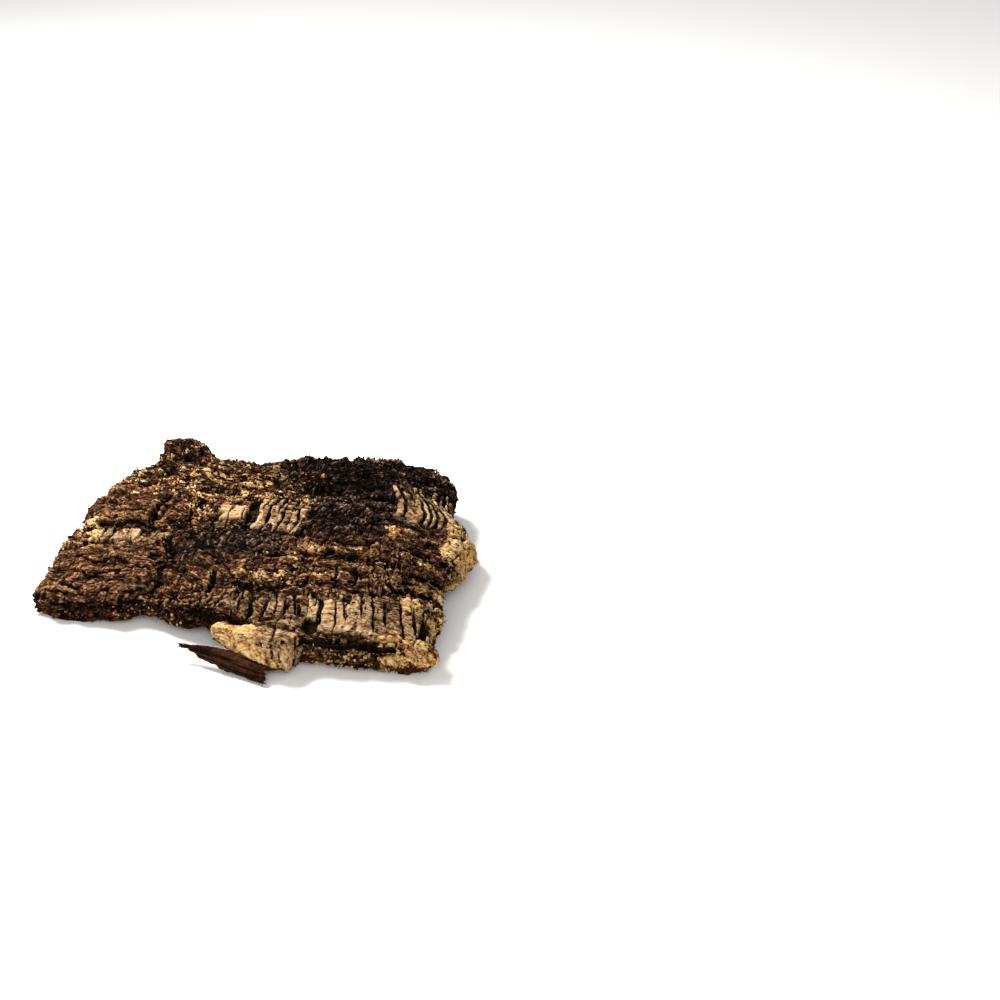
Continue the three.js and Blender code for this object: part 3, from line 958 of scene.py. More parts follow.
@dataclass
class BarkFace:
    """The finished bark face as a grid that other pieces are laid on, in millimetres."""

    points: Array
    look: Look
    # How fibrous the bark is, and where the pale plates lie on it, from 0 to 1.
    fibrous: Array
    plated: Array

    def __post_init__(self) -> None:
        """Work out the face's general slope, without its crumbs."""
        soft = np.stack([blurred(self.points[..., k], 3) for k in range(3)], axis=-1)
        self.normals = unit(np.cross(np.gradient(soft, axis=0), np.gradient(soft, axis=1)))

    def locate(self, at: Pair) -> Pair:
        """Find the point of the face that is nearest a place in plan.

        Args:
            at: The place, in millimetres.

        Returns:
            The point's fractions along the trunk and across it.
        """
        away = np.hypot(self.points[..., 0] - at[0], self.points[..., 1] - at[1])
        i, j = np.unravel_index(np.argmin(away), away.shape)
        return i / (away.shape[0] - 1), j / (away.shape[1] - 1)

    def pick(self, field: Array, s: Array, t: Array) -> Array:
        """Read a field of the grid.

        Args:
            field: The field, as [along][across].
            s: Fractions along the trunk, from 0 to 1.
            t: Fractions across it.

        Returns:
            The field's values there.
        """
        i = np.clip(np.round(s * (field.shape[0] - 1)).astype(int), 0, field.shape[0] - 1)
        j = np.clip(np.round(t * (field.shape[1] - 1)).astype(int), 0, field.shape[1] - 1)
        return field[i, j]


def unit(vectors: Array) -> Array:
    """Return vectors of length 1."""
    return vectors / np.linalg.norm(vectors, axis=-1, keepdims=True)


def tilted_frames(
        normals: Array, yaw: Array, tilt: Array, lean: Array) -> tuple[Array, Array, Array]:
    """Set up three axes at each normal.

    Args:
        normals: Directions out of the surface.
        yaw: Turns of the first axis away from the trunk, in radians.
        tilt: How far each frame leans over, in radians.
        lean: The directions in which they lean, in radians.

    Returns:
        The axis along, the axis across and the axis out, each one a row.
    """
    trunk = np.array([1.0, 0.0, 0.0])
    ahead = unit(trunk - normals * (normals @ trunk)[:, None])
    side = np.cross(normals, ahead)
    towards = np.cos(lean)[:, None] * ahead + np.sin(lean)[:, None] * side
    out = unit(np.cos(tilt)[:, None] * normals + np.sin(tilt)[:, None] * towards)
    first = np.cos(yaw)[:, None] * ahead + np.sin(yaw)[:, None] * side
    first = unit(first - out * np.sum(first * out, axis=1, keepdims=True))
    return first, np.cross(out, first), out


@dataclass
class Wafers:
    """Thin broken flakes of cork that stand out of the bark face. Sizes in millimetres."""

    name: str
    count: int
    seed: int
    # Least and greatest sizes.
    length: Pair
    width: Pair
    thickness: Pair
    # How far they lean out of the face and turn away from the trunk, in degrees.
    tilt: float
    yaw: float
    # How far their middles stand over the face.
    rise: float
    corners: int = 6

    def keep(self, face: BarkFace, s: Array, t: Array, chance: Array) -> Array:
        """Return which of the places get a flake: few on the pale plates."""
        share = (1 - 0.9 * face.pick(face.fibrous, s, t)) * (1 - face.pick(face.plated, s, t))
        return chance < share

    def build(self, face: BarkFace, finish: bpy.types.Material) -> bpy.types.Object:
        """Make the flakes.

        Args:
            face: Bark face that they stand on.
            finish: Material of the piece.

        Returns:
            All of them as one piece.
        """
        random = np.random.default_rng(self.seed)
        s, t = random.uniform(0.004, 0.996, (2, self.count))
        kept = self.keep(face, s, t, random.uniform(size=self.count))
        s, t = s[kept], t[kept]
        number = len(s)
        fibrous = face.pick(face.fibrous, s, t)
        length = random.uniform(*self.length, number) * (1 + 1.1 * fibrous)
        width = random.uniform(*self.width, number) * (1 - 0.2 * fibrous)
        thickness = random.uniform(*self.thickness, number)
        calm = 1 - 0.6 * fibrous
        tilt = np.radians(np.abs(random.normal(0, self.tilt, number))) * calm
        yaw = np.radians(random.normal(-6, self.yaw, number)) * calm
        axes = tilted_frames(face.pick(face.normals, s, t), yaw, np.minimum(tilt, 1.1),
                             random.uniform(0, 2 * math.pi, number))
        place = face.pick(face.points, s, t) + axes[2] * random.normal(self.rise, 0.25, number)[:, None]

        n = self.corners
        angle = (np.arange(n) + random.uniform(-0.3, 0.3, (number, n))) * 2 * math.pi / n
        reach = random.uniform(0.65, 1.0, (number, n))
        u = np.cos(angle) * reach * length[:, None] / 2
        v = np.sin(angle) * reach * width[:, None] / 2
        spread = u[..., None] * axes[0][:, None] + v[..., None] * axes[1][:, None]

        def raised(height: Array) -> Array:
            """Return the middle of each flake, raised."""
            return place[:, None] + height[:, None, None] * axes[2][:, None]

        top, bottom = raised(thickness / 2) + spread, raised(-thickness) + 0.8 * spread
        middle = raised(thickness * random.uniform(0.5, 0.9, number))
        points = np.concatenate([top, bottom, middle, raised(-1.4 * thickness)], axis=1)
        tone = random.uniform(0, 1 - 0.6 * fibrous)[:, None]
        # The top rim of each flake is lighter, partly as a painted highlight and partly as fresh break.
        # The underside gets painted shade, and a random quarter of the flakes is darkened through the
        # same mask.
        edge = np.zeros((number, points.shape[1]))
        edge[:, :n] = (random.uniform(-0.3, 1.0, number) * (1 - 0.8 * fibrous))[:, None]
        cavity = np.zeros(edge.shape)
        cavity[:, n:2 * n] = 0.8
        shade = random.uniform(size=number)[:, None] < 0.25
        pale, crust, tan = (face.pick(face.look[mask], s, t)[:, None]
                            for mask in (Mask.PALE, Mask.CRUST_AND_PAINTED_SHADOW, Mask.TAN))
        look = {Mask.PALE: pale, Mask.CRUST_AND_PAINTED_SHADOW: crust, Mask.TAN: tan, Mask.TONE: tone,
                Mask.EDGE: edge * (1 - 0.7 * crust), Mask.PAINTED_SHADE_AND_DARK_TONE: np.maximum(cavity, 0.45 * shade)}
        mesh = BarkMesh(self.name)
        numbers = mesh.add(points, {mask: np.broadcast_to(value, edge.shape)
                                    for mask, value in look.items()})
        k = np.arange(n)
        after = (k + 1) % n
        mesh.quads.append(numbers[:, np.stack([k, k + n, after + n, after], axis=-1)].reshape(-1, 4))
        for corners in ([0 * k + 2 * n, k, after], [0 * k + 2 * n + 1, after + n, k + n]):
            mesh.triangles.append(numbers[:, np.stack(corners, axis=-1)].reshape(-1, 3))
        return mesh.build(finish, smooth=False)


WAFERS = (
    Wafers("bark_wafers", 1400, 101, (2.5, 6.0), (1.0, 2.4), (0.4, 0.9), 14, 25, 0.1),
    Wafers("bark_chips", 2200, 102, (1.0, 2.8), (0.8, 1.8), (0.5, 1.0), 30, 90, 0.0),
)


@dataclass(frozen=True)
class PlateRow:
    """A row of pale outer bark plates with cross cracks between them. Sizes in millimetres."""

    # Middle of the row's two ends and its depth there, across the trunk.
    start: Pair
    end: Pair
    depth: Pair
    # Least and greatest distance from one crack to the next.
    width: Pair
    # Half a crack's width at its widest, and the share of cracks that cross the whole row.
    crack: float
    whole: float
    # How far the plates stand over the bark, and how pale they are.
    rise: float
    pale: float
    # Height of the growth layers that show on the plates.
    wave: float
    # Share of the plates' ends that is broken off unevenly.
    broken: float
    # Share of the row, from its back, in which the plates are broken into small tiles.
    tiled: float
    # How much lighter the plates are than their kind.
    light: float
    seed: int


# How far the bark lies back under the plates.
PLATE_BED = 1.6
PLATE_ROWS = (
    PlateRow((45, -72), (107, -66), (20, 33), (4.0, 9.0), 0.8, 0.1, 1.3, 0.95, 0.2, 0.12, 0.42, 0.0, 1),
    PlateRow((-14, -62), (46, -71), (18, 22), (4.0, 9.0), 0.9, 0.5, 1.1, 0.55, 0.9, 0.3, 0.5, 0.3, 2),
    PlateRow((-29, 2), (-12, 2), (11, 12), (7.0, 10.0), 0.45, 0.8, 2.0, 1.2, 0.2, 0.15, 0.0, 0.8, 3),
    PlateRow((-8, 10), (18, 11), (34, 34), (3.0, 5.0), 0.9, 0.7, 1.6, 0.95, 0.25, 0.4, 0.8, 0.3, 4),
    PlateRow((62, 34), (95, 40), (36, 40), (2.6, 5.0), 1.0, 0.8, 1.4, 0.9, 0.25, 0.3, 0.5, 0.1, 5),
    PlateRow((-98, -14), (-50, -17), (9, 12), (3.0, 7.5), 0.7, 0.8, 1.5, 0.8, 0.4, 0.5, 0.4, 0.3, 6),
)


@dataclass
class PalePlates:
    """The pale plates of one row: a cracked skin that dips under the bark round its broken ends."""

    row: PlateRow
    # Size of the skin's cells along the row and across it.
    cell: Pair = (0.36, 0.5)
    # How far the skin goes on past the row, how far it dips there, and how thick it is below that.
    margin: float = 2.0
    sunk: float = 3.0
    thick: float = 2.0
    # Length of the small tiles at the back, and how deep the cracks and the tiles' joints are.
    tile: float = 4.2
    crack_depth: float = 2.6
    joint_depth: float = 0.6
    name: str = "pale_plates"

    def __post_init__(self) -> None:
        """Work out the row's length, the skin's depth and the number of its patterns."""
        row = self.row
        self.run = math.hypot(row.end[0] - row.start[0], row.end[1] - row.start[1])
        self.deep = max(row.depth) + 2 * self.margin
        self.seed = row.seed * 3.7

    def spread(self, face: BarkFace) -> tuple[Array, Array, Array, Array]:
        """Lay the skin's grid on the bark face.

        Args:
            face: The bark face.

        Returns:
            Places along the row and across it in millimetres, and the slab's fractions there.
        """
        (s0, t0), (s1, t1) = face.locate(self.row.start), face.locate(self.row.end)
        u = np.linspace(-self.margin, self.run + self.margin, int(self.run / self.cell[0]))
        v = np.linspace(-self.deep / 2, self.deep / 2, int(self.deep / self.cell[1]))
        u, v = np.broadcast_arrays(u[:, None], v[None, :])
        s = np.clip(s0 + (s1 - s0) * u / self.run, 0.006, 0.994)
        t = np.clip(t0 + (t1 - t0) * u / self.run + v / MEAN_WIDTH, 0.004, 0.996)
        return u, v, s, t

    def cracked(self, bent: Array, v: Array) -> tuple[Array, Array, Array, float]:
        """Break the row into plates by cracks across it.

        Args:
            bent: Places along the row, bent as its cracks are.
            v: Places across the row.

        Returns:
            How open a crack is, how near its rounded edge is, which plate each place is on, and
            where the last crack is.
        """
        random = np.random.default_rng(self.row.seed)
        places = [0.0]
        while places[-1] < self.run:
            places.append(places[-1] + random.uniform(*self.row.width))
        crack, bevel, plate = np.zeros(v.shape), np.zeros(v.shape), np.zeros(v.shape, int)
        across = v / self.deep
        for k, place in enumerate(places):
            own = bent - place - 0.45 * noise(v / 4, self.seed + k, 33)
            whole = k in (0, len(places) - 1) or random.uniform() < self.row.whole
            low, high = (-9.0, 9.0) if whole else random.uniform((-0.28, 0.1), (0.0, 0.9))
            inside = smooth_step(across, low - 0.05, low + 0.1)
            inside = inside * (1 - smooth_step(across, high - 0.1, high + 0.05))
            half = self.row.crack * random.uniform(0.45, 1.15)
            half = half * (1 + 0.5 * noise(v / 2.2, self.seed + k, 34)) * inside
            if half.max() > 0:
                crack = np.maximum(crack, 1 - smooth_step(np.abs(own), 0.45 * half, half + 0.12))
            bevel = np.maximum(bevel, inside * (1 - smooth_step(np.abs(own), half, half + 0.6)))
            plate += own > 0
        return crack, bevel, plate, places[-1]

    def kept(self, bent: Array, v: Array, reach: Array, plate: Array,
             last: float) -> tuple[Array, Array]:
        """Break the plates off at the row's front, back and ends.

        Args:
            bent: Places along the row, bent as its cracks are.
            v: Places across the row.
            reach: Half the row's depth there.
            plate: Which plate each place is on.
            last: Where the last crack is.

        Returns:
            1 where a plate is and 0 beyond it, and the distance behind the row's front edge.
        """
        torn, seed = self.row.broken * reach, self.seed
        front = -reach + torn * (0.25 * cell_hash(plate, seed, 35) + 0.4 * noise(bent / 1.6, seed, 36)
                                 + 1.3 * noise(bent / 11, seed, 49))
        back = reach - 1.6 * torn * (cell_hash(plate, seed, 37) + 0.5 * noise(bent / 1.6, seed, 38))
        kept = smooth_step(v - front, -0.3, 0.3) * smooth_step(back - v, -0.4, 0.6)
        kept = kept * smooth_step(bent, -0.3, 0.3) * smooth_step(last - bent, -0.3, 0.3)
        return kept, v - front

    def build(self, face: BarkFace, finish: bpy.types.Material) -> bpy.types.Object:
        """Make the row on the bark face.

        Args:
            face: The bark face.
            finish: Material of the piece.

        Returns:
            The row as one closed piece.
        """
        row, seed = self.row, self.seed
        u, v, s, t = self.spread(face)
        x, y = torn_plan(s, t, BARK_TEAR)
        bent = u - 1.6 * noise(v / 12, seed, 31) - 0.35 * noise(u / 9, v / 3, 32)
        crack, bevel, plate, last = self.cracked(bent, v)
        far = smooth_step(v / self.deep + 0.12 * rough(u / 6, v / 6, 50),
                          0.5 - row.tiled, 0.68 - row.tiled)
        tiled = (v + 0.7 * noise(bent / 5, v / 5, 53) + 2.3 * cell_hash(plate, seed, 54)) / self.tile
        joint = (1 - smooth_step(np.abs(tiled - np.round(tiled)), 0.07, 0.2)) * far
        joint = joint * np.clip(0.6 + 0.6 * noise(bent / 2, tiled, 55), 0, 1)
        lift = far * (cell_hash(plate, np.floor(tiled + 0.5), 56) - 0.5)
        reach = (row.depth[0] + (row.depth[1] - row.depth[0]) * np.clip(u / self.run, 0, 1)) / 2
        kept, behind = self.kept(bent, v, reach, plate, last)
        gone = rough(x / 3.5, y / 3, 39 + seed) + 0.5 * smooth_step(behind, 0.5 * reach, 1.6 * reach)
        firm = 0.3 * (row.pale >= 0.9)
        kept = kept * (1 - smooth_step(gone, 0.44 + firm, 0.52 + firm))
        kept = kept * (1 - smooth_step(hollow_depth(x, y), 0.5, 1.5))
        wavy = row.wave * rough(x / 9 + seed, (y + 0.8 * noise(x / 4, y / 9, 40)) / 1.9, 41)
        lean = (cell_hash(plate, seed, 42) - 0.5) * (cell_hash(plate, seed, 43) + 0.5)
        form = even_form(x, y) - rim_drop(s, t)
        relief = (0.9 * (lean + lift) + wavy + 0.2 * rough(x / 3, y / 4, 44)
                  + 0.1 * noise(x / 0.7, y / 0.7, 45))
        open_depth = self.crack_depth * crack + 0.1 * bevel + self.joint_depth * joint
        z = form + kept * (row.rise + relief - open_depth) - (1 - kept) * self.sunk
        stains = smooth_step(rough(x / 2.2, y / 2.8, 46), 0.25, 0.6)
        pale = row.pale * (1 - 0.7 * stains) * (1.15 - 0.5 * cell_hash(plate, seed, 47))
        # Raised tiles are painted paler and get a painted highlight, and raised waves are painted
        # lighter. Painted shade fills the cracks, the joints and where the skin dips under the bark,
        # beside real stains.
        pale = pale * (1 - 0.15 * far + 0.3 * lift)
        tan = cover(TAN_PATCHES, x, y, 71)
        dark = 1.3 * crack + 0.8 * joint + (1 - kept) + 0.25 * stains - 0.9 * wavy
        look = {Mask.PALE: np.clip(pale * (1 - tan), 0, 1), Mask.TAN: 0.9 * tan,
                Mask.TONE: cell_hash(plate, seed, 48), Mask.PAINTED_SHADE_AND_DARK_TONE: np.clip(dark, 0, 1),
                Mask.EDGE: np.clip(1.2 * wavy + row.light + 0.4 * lift, 0, 1)}
        mesh = BarkMesh(f"{self.name}_{row.seed}")
        top = mesh.add(np.stack([x, y, z], axis=-1), look)
        # Its underside is in full painted shade.
        bottom = mesh.add(np.stack([x, y, form - self.sunk - self.thick], axis=-1), {Mask.PAINTED_SHADE_AND_DARK_TONE: 1.0})
        mesh.shell(top, bottom)
        return mesh.build(finish)


def shaped(piece: bpy.types.Object, name: str, finish: bpy.types.Material,
           move: Callable[[Array], tuple[Array, Look]]) -> bpy.types.Object:
    """Reshape a primitive by a function of its points, and give it masks and a finish.

    Args:
        piece: Object to reshape, with its points in its own units.
        name: New name of the object.
        finish: Material of the piece.
        move: Function from points to new points in millimetres and their masks.

    Returns:
        The object.
    """
    piece.name = piece.data.name = name
    data = piece.data
    places = np.empty(len(data.vertices) * 3, np.float32)
    data.vertices.foreach_get("co", places)
    points, look = move(places.reshape(-1, 3).astype(float))
    data.vertices.foreach_set("co", ((points - MIDDLE) * MM).reshape(-1).astype(np.float32))
    for mask in Mask:
        layer = data.attributes.new(mask.value, "FLOAT", "POINT")
        value = np.broadcast_to(look.get(mask, 0.0), (len(points),)).astype(np.float32)
        layer.data.foreach_set("value", value)
    data.polygons.foreach_set("use_smooth", np.full(len(data.polygons), True))
    data.update()
    data.materials.clear()
    data.materials.append(finish)
    return piece


def crumble(points: Array, size: float, seed: float) -> tuple[Array, Array]:
    """Break a surface into crumbs.

    Args:
        points: Points of the surface, in millimetres.
        size: Size of the crumbs.
        seed: Number of the pattern.

    Returns:
        How far the crumbs stand out, as a share, and each one's own number from 0 to 1.
    """
    x, y, z = (points / size).T
    border, own = cells(x + 0.7 * z + 0.25 * noise(2 * x, 2 * y, seed), y - 0.6 * z, seed)
    fine, fine_own = cells(2.2 * x - 1.7 * z, 2.2 * y + 1.5 * z, seed + 3)
    relief = (1.0 * (own - 0.5) - 0.5 * (1 - smooth_step(border, 0.02, 0.12))
              + 0.5 * (fine_own - 0.5) - 0.25 * (1 - smooth_step(fine, 0.02, 0.15)))
    return relief, own


@dataclass(frozen=True)
class Lump:
    """A rough lump of cork that stands out of the rim, as the solid has it. Sizes in millimetres."""

    at: Triple
    half: Triple
    # Turn about the vertical, in degrees.
    turn: float
    seed: int
    # How much of it is fresh cork. Above 1 all of it is, and it broke into large smooth faces.
    tan: float


LUMPS = (
    Lump((-67, 57, 36), (13, 9, 8.5), -12, 31, 0.2),
    Lump((-104, -18, 13), (9, 11, 7), 10, 32, 0.4),
    Lump((100, 11, 10.5), (9.5, 19, 8.5), -4, 33, 1.15),
    Lump((101, -44, 9.5), (6.5, 13, 7.5), 5, 34, 0.7),
    Lump((98, -76, 8.5), (13, 8, 8.4), 8, 35, 0.85),
)
LUMP_ROUGHNESS = 0.6


@dataclass
class RimLumps:
    """The lumps of torn cork round the rim, joined into one piece."""

    lumps: tuple[Lump, ...] = LUMPS
    subdivisions: int = 6
    # Size of the crumbs and of the large faces, and how far they stand out, in millimetres.
    crumb: float = 4.2
    facet: float = 9.0
    relief: float = 1.4
    name: str = "rim_lumps"

    def lump(self, form: Lump, finish: bpy.types.Material) -> bpy.types.Object:
        """Make one lump.

        Args:
            form: What it is like.
            finish: Material of the piece.

        Returns:
            The lump.
        """
        bpy.ops.mesh.primitive_ico_sphere_add(subdivisions=self.subdivisions, radius=1)
        faceted = form.tan > 1

        def move(p: Array) -> tuple[Array, Look]:
            """Push the ball in and out by noise, coarsely as the solid and finely on top.

            Args:
                p: Points of the ball.

            Returns:
                The lump's points in millimetres, and their masks.
            """
            way = unit(p)
            swell = rough(way[:, 0] * 2 + way[:, 2], way[:, 1] * 2 - way[:, 2], form.seed)
            place = way * np.array(form.half) * (1 + LUMP_ROUGHNESS * swell)[:, None]
            relief, own = crumble(place, self.facet if faceted else self.crumb, form.seed)
            relief = relief * (1 - 0.6 * faceted * smooth_step(way[:, 2], -0.1, 0.4))
            place = place + self.relief * relief[:, None] * unit(way / np.array(form.half))
            angle = math.radians(form.turn)
            turn = np.array([[math.cos(angle), -math.sin(angle)],
                             [math.sin(angle), math.cos(angle)]])
            place[:, :2] = place[:, :2] @ turn.T
            place += np.array(form.at)
            place[:, 2] = np.maximum(FLOOR_GAP, place[:, 2])
            low = smooth_step(-way[:, 2] + 0.3 * relief, 0.1, 0.6)
            patchy = rough(place[:, 0] / 5, place[:, 1] / 5 + place[:, 2] / 5, form.seed + 4)
            patchy = smooth_step(patchy + form.tan ** 3, -0.4, 0.3)
            # Painted shade in the hollows between the crumbs and a painted highlight on the raised
            # ones.
            return place, {Mask.TAN: form.tan * patchy * (1 - low), Mask.RUST: low, Mask.TONE: own,
                           Mask.PAINTED_SHADE_AND_DARK_TONE: np.clip(-0.1 - relief, 0, 1), Mask.EDGE: np.clip(relief, 0, 1)}

        return shaped(bpy.context.object, f"{self.name}_{form.seed}", finish, move)

    def build(self, finish: bpy.types.Material) -> bpy.types.Object:
        """Make the lumps.

        Args:
            finish: Material of the piece.

        Returns:
            All of them as one piece.
        """
        made = [self.lump(form, finish) for form in self.lumps]
        bpy.ops.object.select_all(action="DESELECT")
        for piece in made:
            piece.select_set(True)
        bpy.context.view_layer.objects.active = made[0]
        bpy.ops.object.join()
        made[0].name = made[0].data.name = self.name
        return made[0]


def turned(points: Array, axis: str, degrees: float) -> Array:
    """Return points turned about an axis through the origin."""
    return points @ np.array(Matrix.Rotation(math.radians(degrees), 3, axis)).T


@dataclass
class TornBlock:
    """The block of cork torn loose along the front edge and still held at its back.

    Sizes are in millimetres.
    """

    size: Triple = (46, 19, 17)
    at: Triple = (18, -83.5, 11.2)
    # Turn about the vertical and tip to the front, in degrees.
    turn: float = -17.0
    tip: float = -12.0
    # How far it narrows to the left and how far its edges are rounded, as shares.
    taper: float = 0.5
    roundness: float = 0.1
    roughness: float = 1.7
    # Size of the crumbs on its broken faces.
    crumb: float = 5.0
    # Width of the plates on its right half.
    plate: float = 5.4
    cuts: int = 60
    name: str = "torn_block"

    def build(self, finish: bpy.types.Material) -> bpy.types.Object:
        """Make the block.

        Args:
            finish: Material of the piece.

        Returns:
            The block.
        """
        bpy.ops.mesh.primitive_cube_add(size=2)
        bpy.ops.object.mode_set(mode="EDIT")
        bpy.ops.mesh.select_all(action="SELECT")
        bpy.ops.mesh.subdivide(number_cuts=self.cuts)
        bpy.ops.object.mode_set(mode="OBJECT")

        def move(p: Array) -> tuple[Array, Look]:
            """Round the cube off, narrow its left end and break its faces.

            Args:
                p: Points of the cube.

            Returns:
                The block's points in millimetres, and their masks.
            """
            place = p + self.roundness * (1.25 * unit(p) - p)
            narrow = 1 - self.taper * smooth_step(-place[:, 0], -0.4, 1)
            place[:, 0] *= self.size[0] / 2
            place[:, 1] *= narrow * self.size[1] / 2
            place[:, 2] *= narrow * self.size[2] / 2
            place[:, 1] -= 6 * p[:, 1] * (p[:, 1] < 0) * smooth_step(p[:, 0], 0.55, 1.1)
            broken = rough(place[:, 0] / 9 + place[:, 2] / 6, place[:, 1] / 8 - place[:, 2] / 9, 21)
            place += self.roughness * broken[:, None]
            relief, own = crumble(place, self.crumb, 22)
            ragged = 0.3 * rough(place[:, 0] / 5, place[:, 2] / 3, 23)
            plated = smooth_step(2.4 * p[:, 0] + p[:, 2] + 0.36 * p[:, 1] + ragged, 1.12, 1.2)
            across = (0.87 * place[:, 0] + 0.48 * place[:, 1]) / self.plate
            across = across + 0.15 * rough(place[:, 2] / 6, 0 * place[:, 1], 24)
            crack = (1 - smooth_step(np.abs(across - np.round(across)), 0.06, 0.16)) * plated
            part = noise(place[:, 2] / 4, 2.3 * np.round(across), 25) - 0.6 * (p[:, 2] > 0.98)
            crack = crack * smooth_step(part, -0.4, -0.1)
            layers = rough(place[:, 0] / 7, (place[:, 2] - place[:, 1]) / 1.8, 26)
            push = 1.0 * relief * (1 - plated) + plated * (0.8 + 0.5 * layers) - 1.2 * crack
            place += push[:, None] * unit(p ** 3)
            place = turned(turned(place, "X", self.tip), "Z", self.turn) + np.array(self.at)
            place[:, 2] = np.maximum(FLOOR_GAP, place[:, 2])
            low = smooth_step(-p[:, 2], 0.7, 0.98) * (1 - plated)
            stains = smooth_step(rough(place[:, 0] / 3, place[:, 2] / 5, 27), 0.15, 0.5)
            # Painted shade in the cracks and between the crumbs, a painted highlight on the raised
            # crumbs, and the plated side's raised layers painted lighter.
            dark = crack + (-0.2 - relief) * (1 - plated) - 0.3 * layers * plated
            return place, {Mask.TAN: (1 - plated) * (1 - low), Mask.PALE: plated * (1 - 0.5 * stains),
                           Mask.RUST: low, Mask.TONE: own, Mask.PAINTED_SHADE_AND_DARK_TONE: np.clip(dark, 0, 0.8),
                           Mask.EDGE: np.clip(relief, 0, 1) * (1 - plated)}

        return shaped(bpy.context.object, self.name, finish, move)


@dataclass
class PeeledStrip:
    """The dark strip of inner bark that hangs below the torn block, split into fibres at its ends.

    Sizes are in millimetres.
    """

    length: float = 50.0
    width: float = 11.0
    thickness: float = 2.4
    at: Triple = (7, -95, 6.2)
    # Turns in degrees: about the vertical, its right end down, and its upper edge up.
    turn: float = -14.0
    dip: float = 3.5
    tilt: float = 42.0
    # How far its ends curl up.
    curl: float = 0.64
    # Points along it and across it.
    steps: tuple[int, int] = (150, 34)
    name: str = "peeled_strip"

    def tips(self) -> tuple[Array, Array]:
        """Find where fibres leave the built strip.

        Returns:
            Points near its ends and its upper edge, and the directions of the fibres there.
        """
        left = self.sheet[:14:2].reshape(-1, 3)
        right = self.sheet[-6::3].reshape(-1, 3)
        upper = self.sheet[::9, -1]
        ways = [np.tile(way, (len(part), 1)) for part, way in
                ((left, (-1.6, 0.1, 0.2)), (right, (0.8, -0.3, -0.2)), (upper, (-1.0, 0.5, 0.3)))]
        return np.concatenate([left, right, upper]), np.concatenate(ways)

    def border(self, w: Array) -> tuple[Array, Array]:
        """Draw the strip's two long edges.

        Args:
            w: Fractions of its length.

        Returns:
            The lower and the upper edge there, as [x, y].
        """
        def bow(*corners: Pair) -> Array:
            """Return a curve from the first corner to the third that is drawn to the second."""
            a, b, c = (np.array(corner) * (self.length, self.width) for corner in corners)
            f = w[:, None]
            return (1 - f) ** 2 * a + 2 * f * (1 - f) * b + f ** 2 * c

        lower = bow((-0.5, -0.05), (-1 / 6, -0.62), (0.5, -0.42))
        upper = bow((-0.5, -0.02), (-0.1, 0.72), (0.44, 0.36))
        return lower, upper

    def build(self, finish: bpy.types.Material) -> bpy.types.Object:
        """Make the strip.

        Args:
            finish: Material of the piece.

        Returns:
            The strip as one closed piece.
        """
        w = np.linspace(0, 1, self.steps[0])
        lower, upper = self.border(w)
        q = np.linspace(0, 1, self.steps[1])[None, :, None]
        plan = lower[:, None] * (1 - q) + upper[:, None] * q
        fray = noise(np.arange(self.steps[1])[None, :] / 2.2, 0 * plan[..., 0], 26)
        ends = np.abs(2 * w - 1)[:, None] ** 10
        x = plan[..., 0] + 2.6 * ends * fray
        ragged = noise(14 * w, 0 * w, 28) + 0.6 * noise(37 * w, 0 * w, 29)
        y = plan[..., 1] + 0.4 * ragged[:, None] * (1 - q[..., 0]) ** 3
        grain = rough(x / 14, y / 0.9, 27)
        full = (1 - np.abs(2 * q[..., 0] - 1) ** 3) * (1 - 0.7 * ends)
        sheets = []
        for side in (1, -1):
            z = side * (0.15 + self.thickness / 2 * full) + 0.35 * grain * full
            bent = np.stack([x, y, z + self.curl * (2 * x / self.length) ** 2], axis=-1)
            place = turned(turned(turned(bent, "X", self.tilt), "Y", self.dip), "Z", self.turn)
            place = place + np.array(self.at)
            place[..., 2] = np.maximum(FLOOR_GAP, place[..., 2])
            sheets.append(place)
        # Painted shade in the grooves of the grain.
        look = {Mask.RUST: 1.0, Mask.PAINTED_SHADE_AND_DARK_TONE: np.clip(0.35 - 0.8 * grain, 0, 1)}
        self.sheet = sheets[0]
        mesh = BarkMesh(self.name)
        mesh.shell(*(mesh.add(sheet, look) for sheet in sheets))
        return mesh.build(finish)


@dataclass(frozen=True)
class Fringe:
    """A stretch of the torn rim and how much loose cork hangs there. Sizes in millimetres."""

    at: Pair
    half: Pair
    crumbs: int
    fibres: int
    # Share of the crumbs that are fresh cork.
    tan: float


FRINGES = (
    Fringe((104, 10), (12, 26), 200, 260, 0.45),
    Fringe((106, -44), (10, 20), 160, 200, 0.45),
    Fringe((100, -78), (14, 10), 200, 200, 0.5),
    Fringe((60, -84), (38, 9), 420, 60, 0.3),
    Fringe((-44, -66), (24, 8), 140, 20, 0.2),
    Fringe((-92, -66), (24, 8), 70, 12, 0.1),
    Fringe((-108, -20), (8, 22), 120, 10, 0.35),
    Fringe((-92, 45), (20, 24), 120, 10, 0.3),
    Fringe((20, 78), (90, 20), 260, 40, 0.1),
)


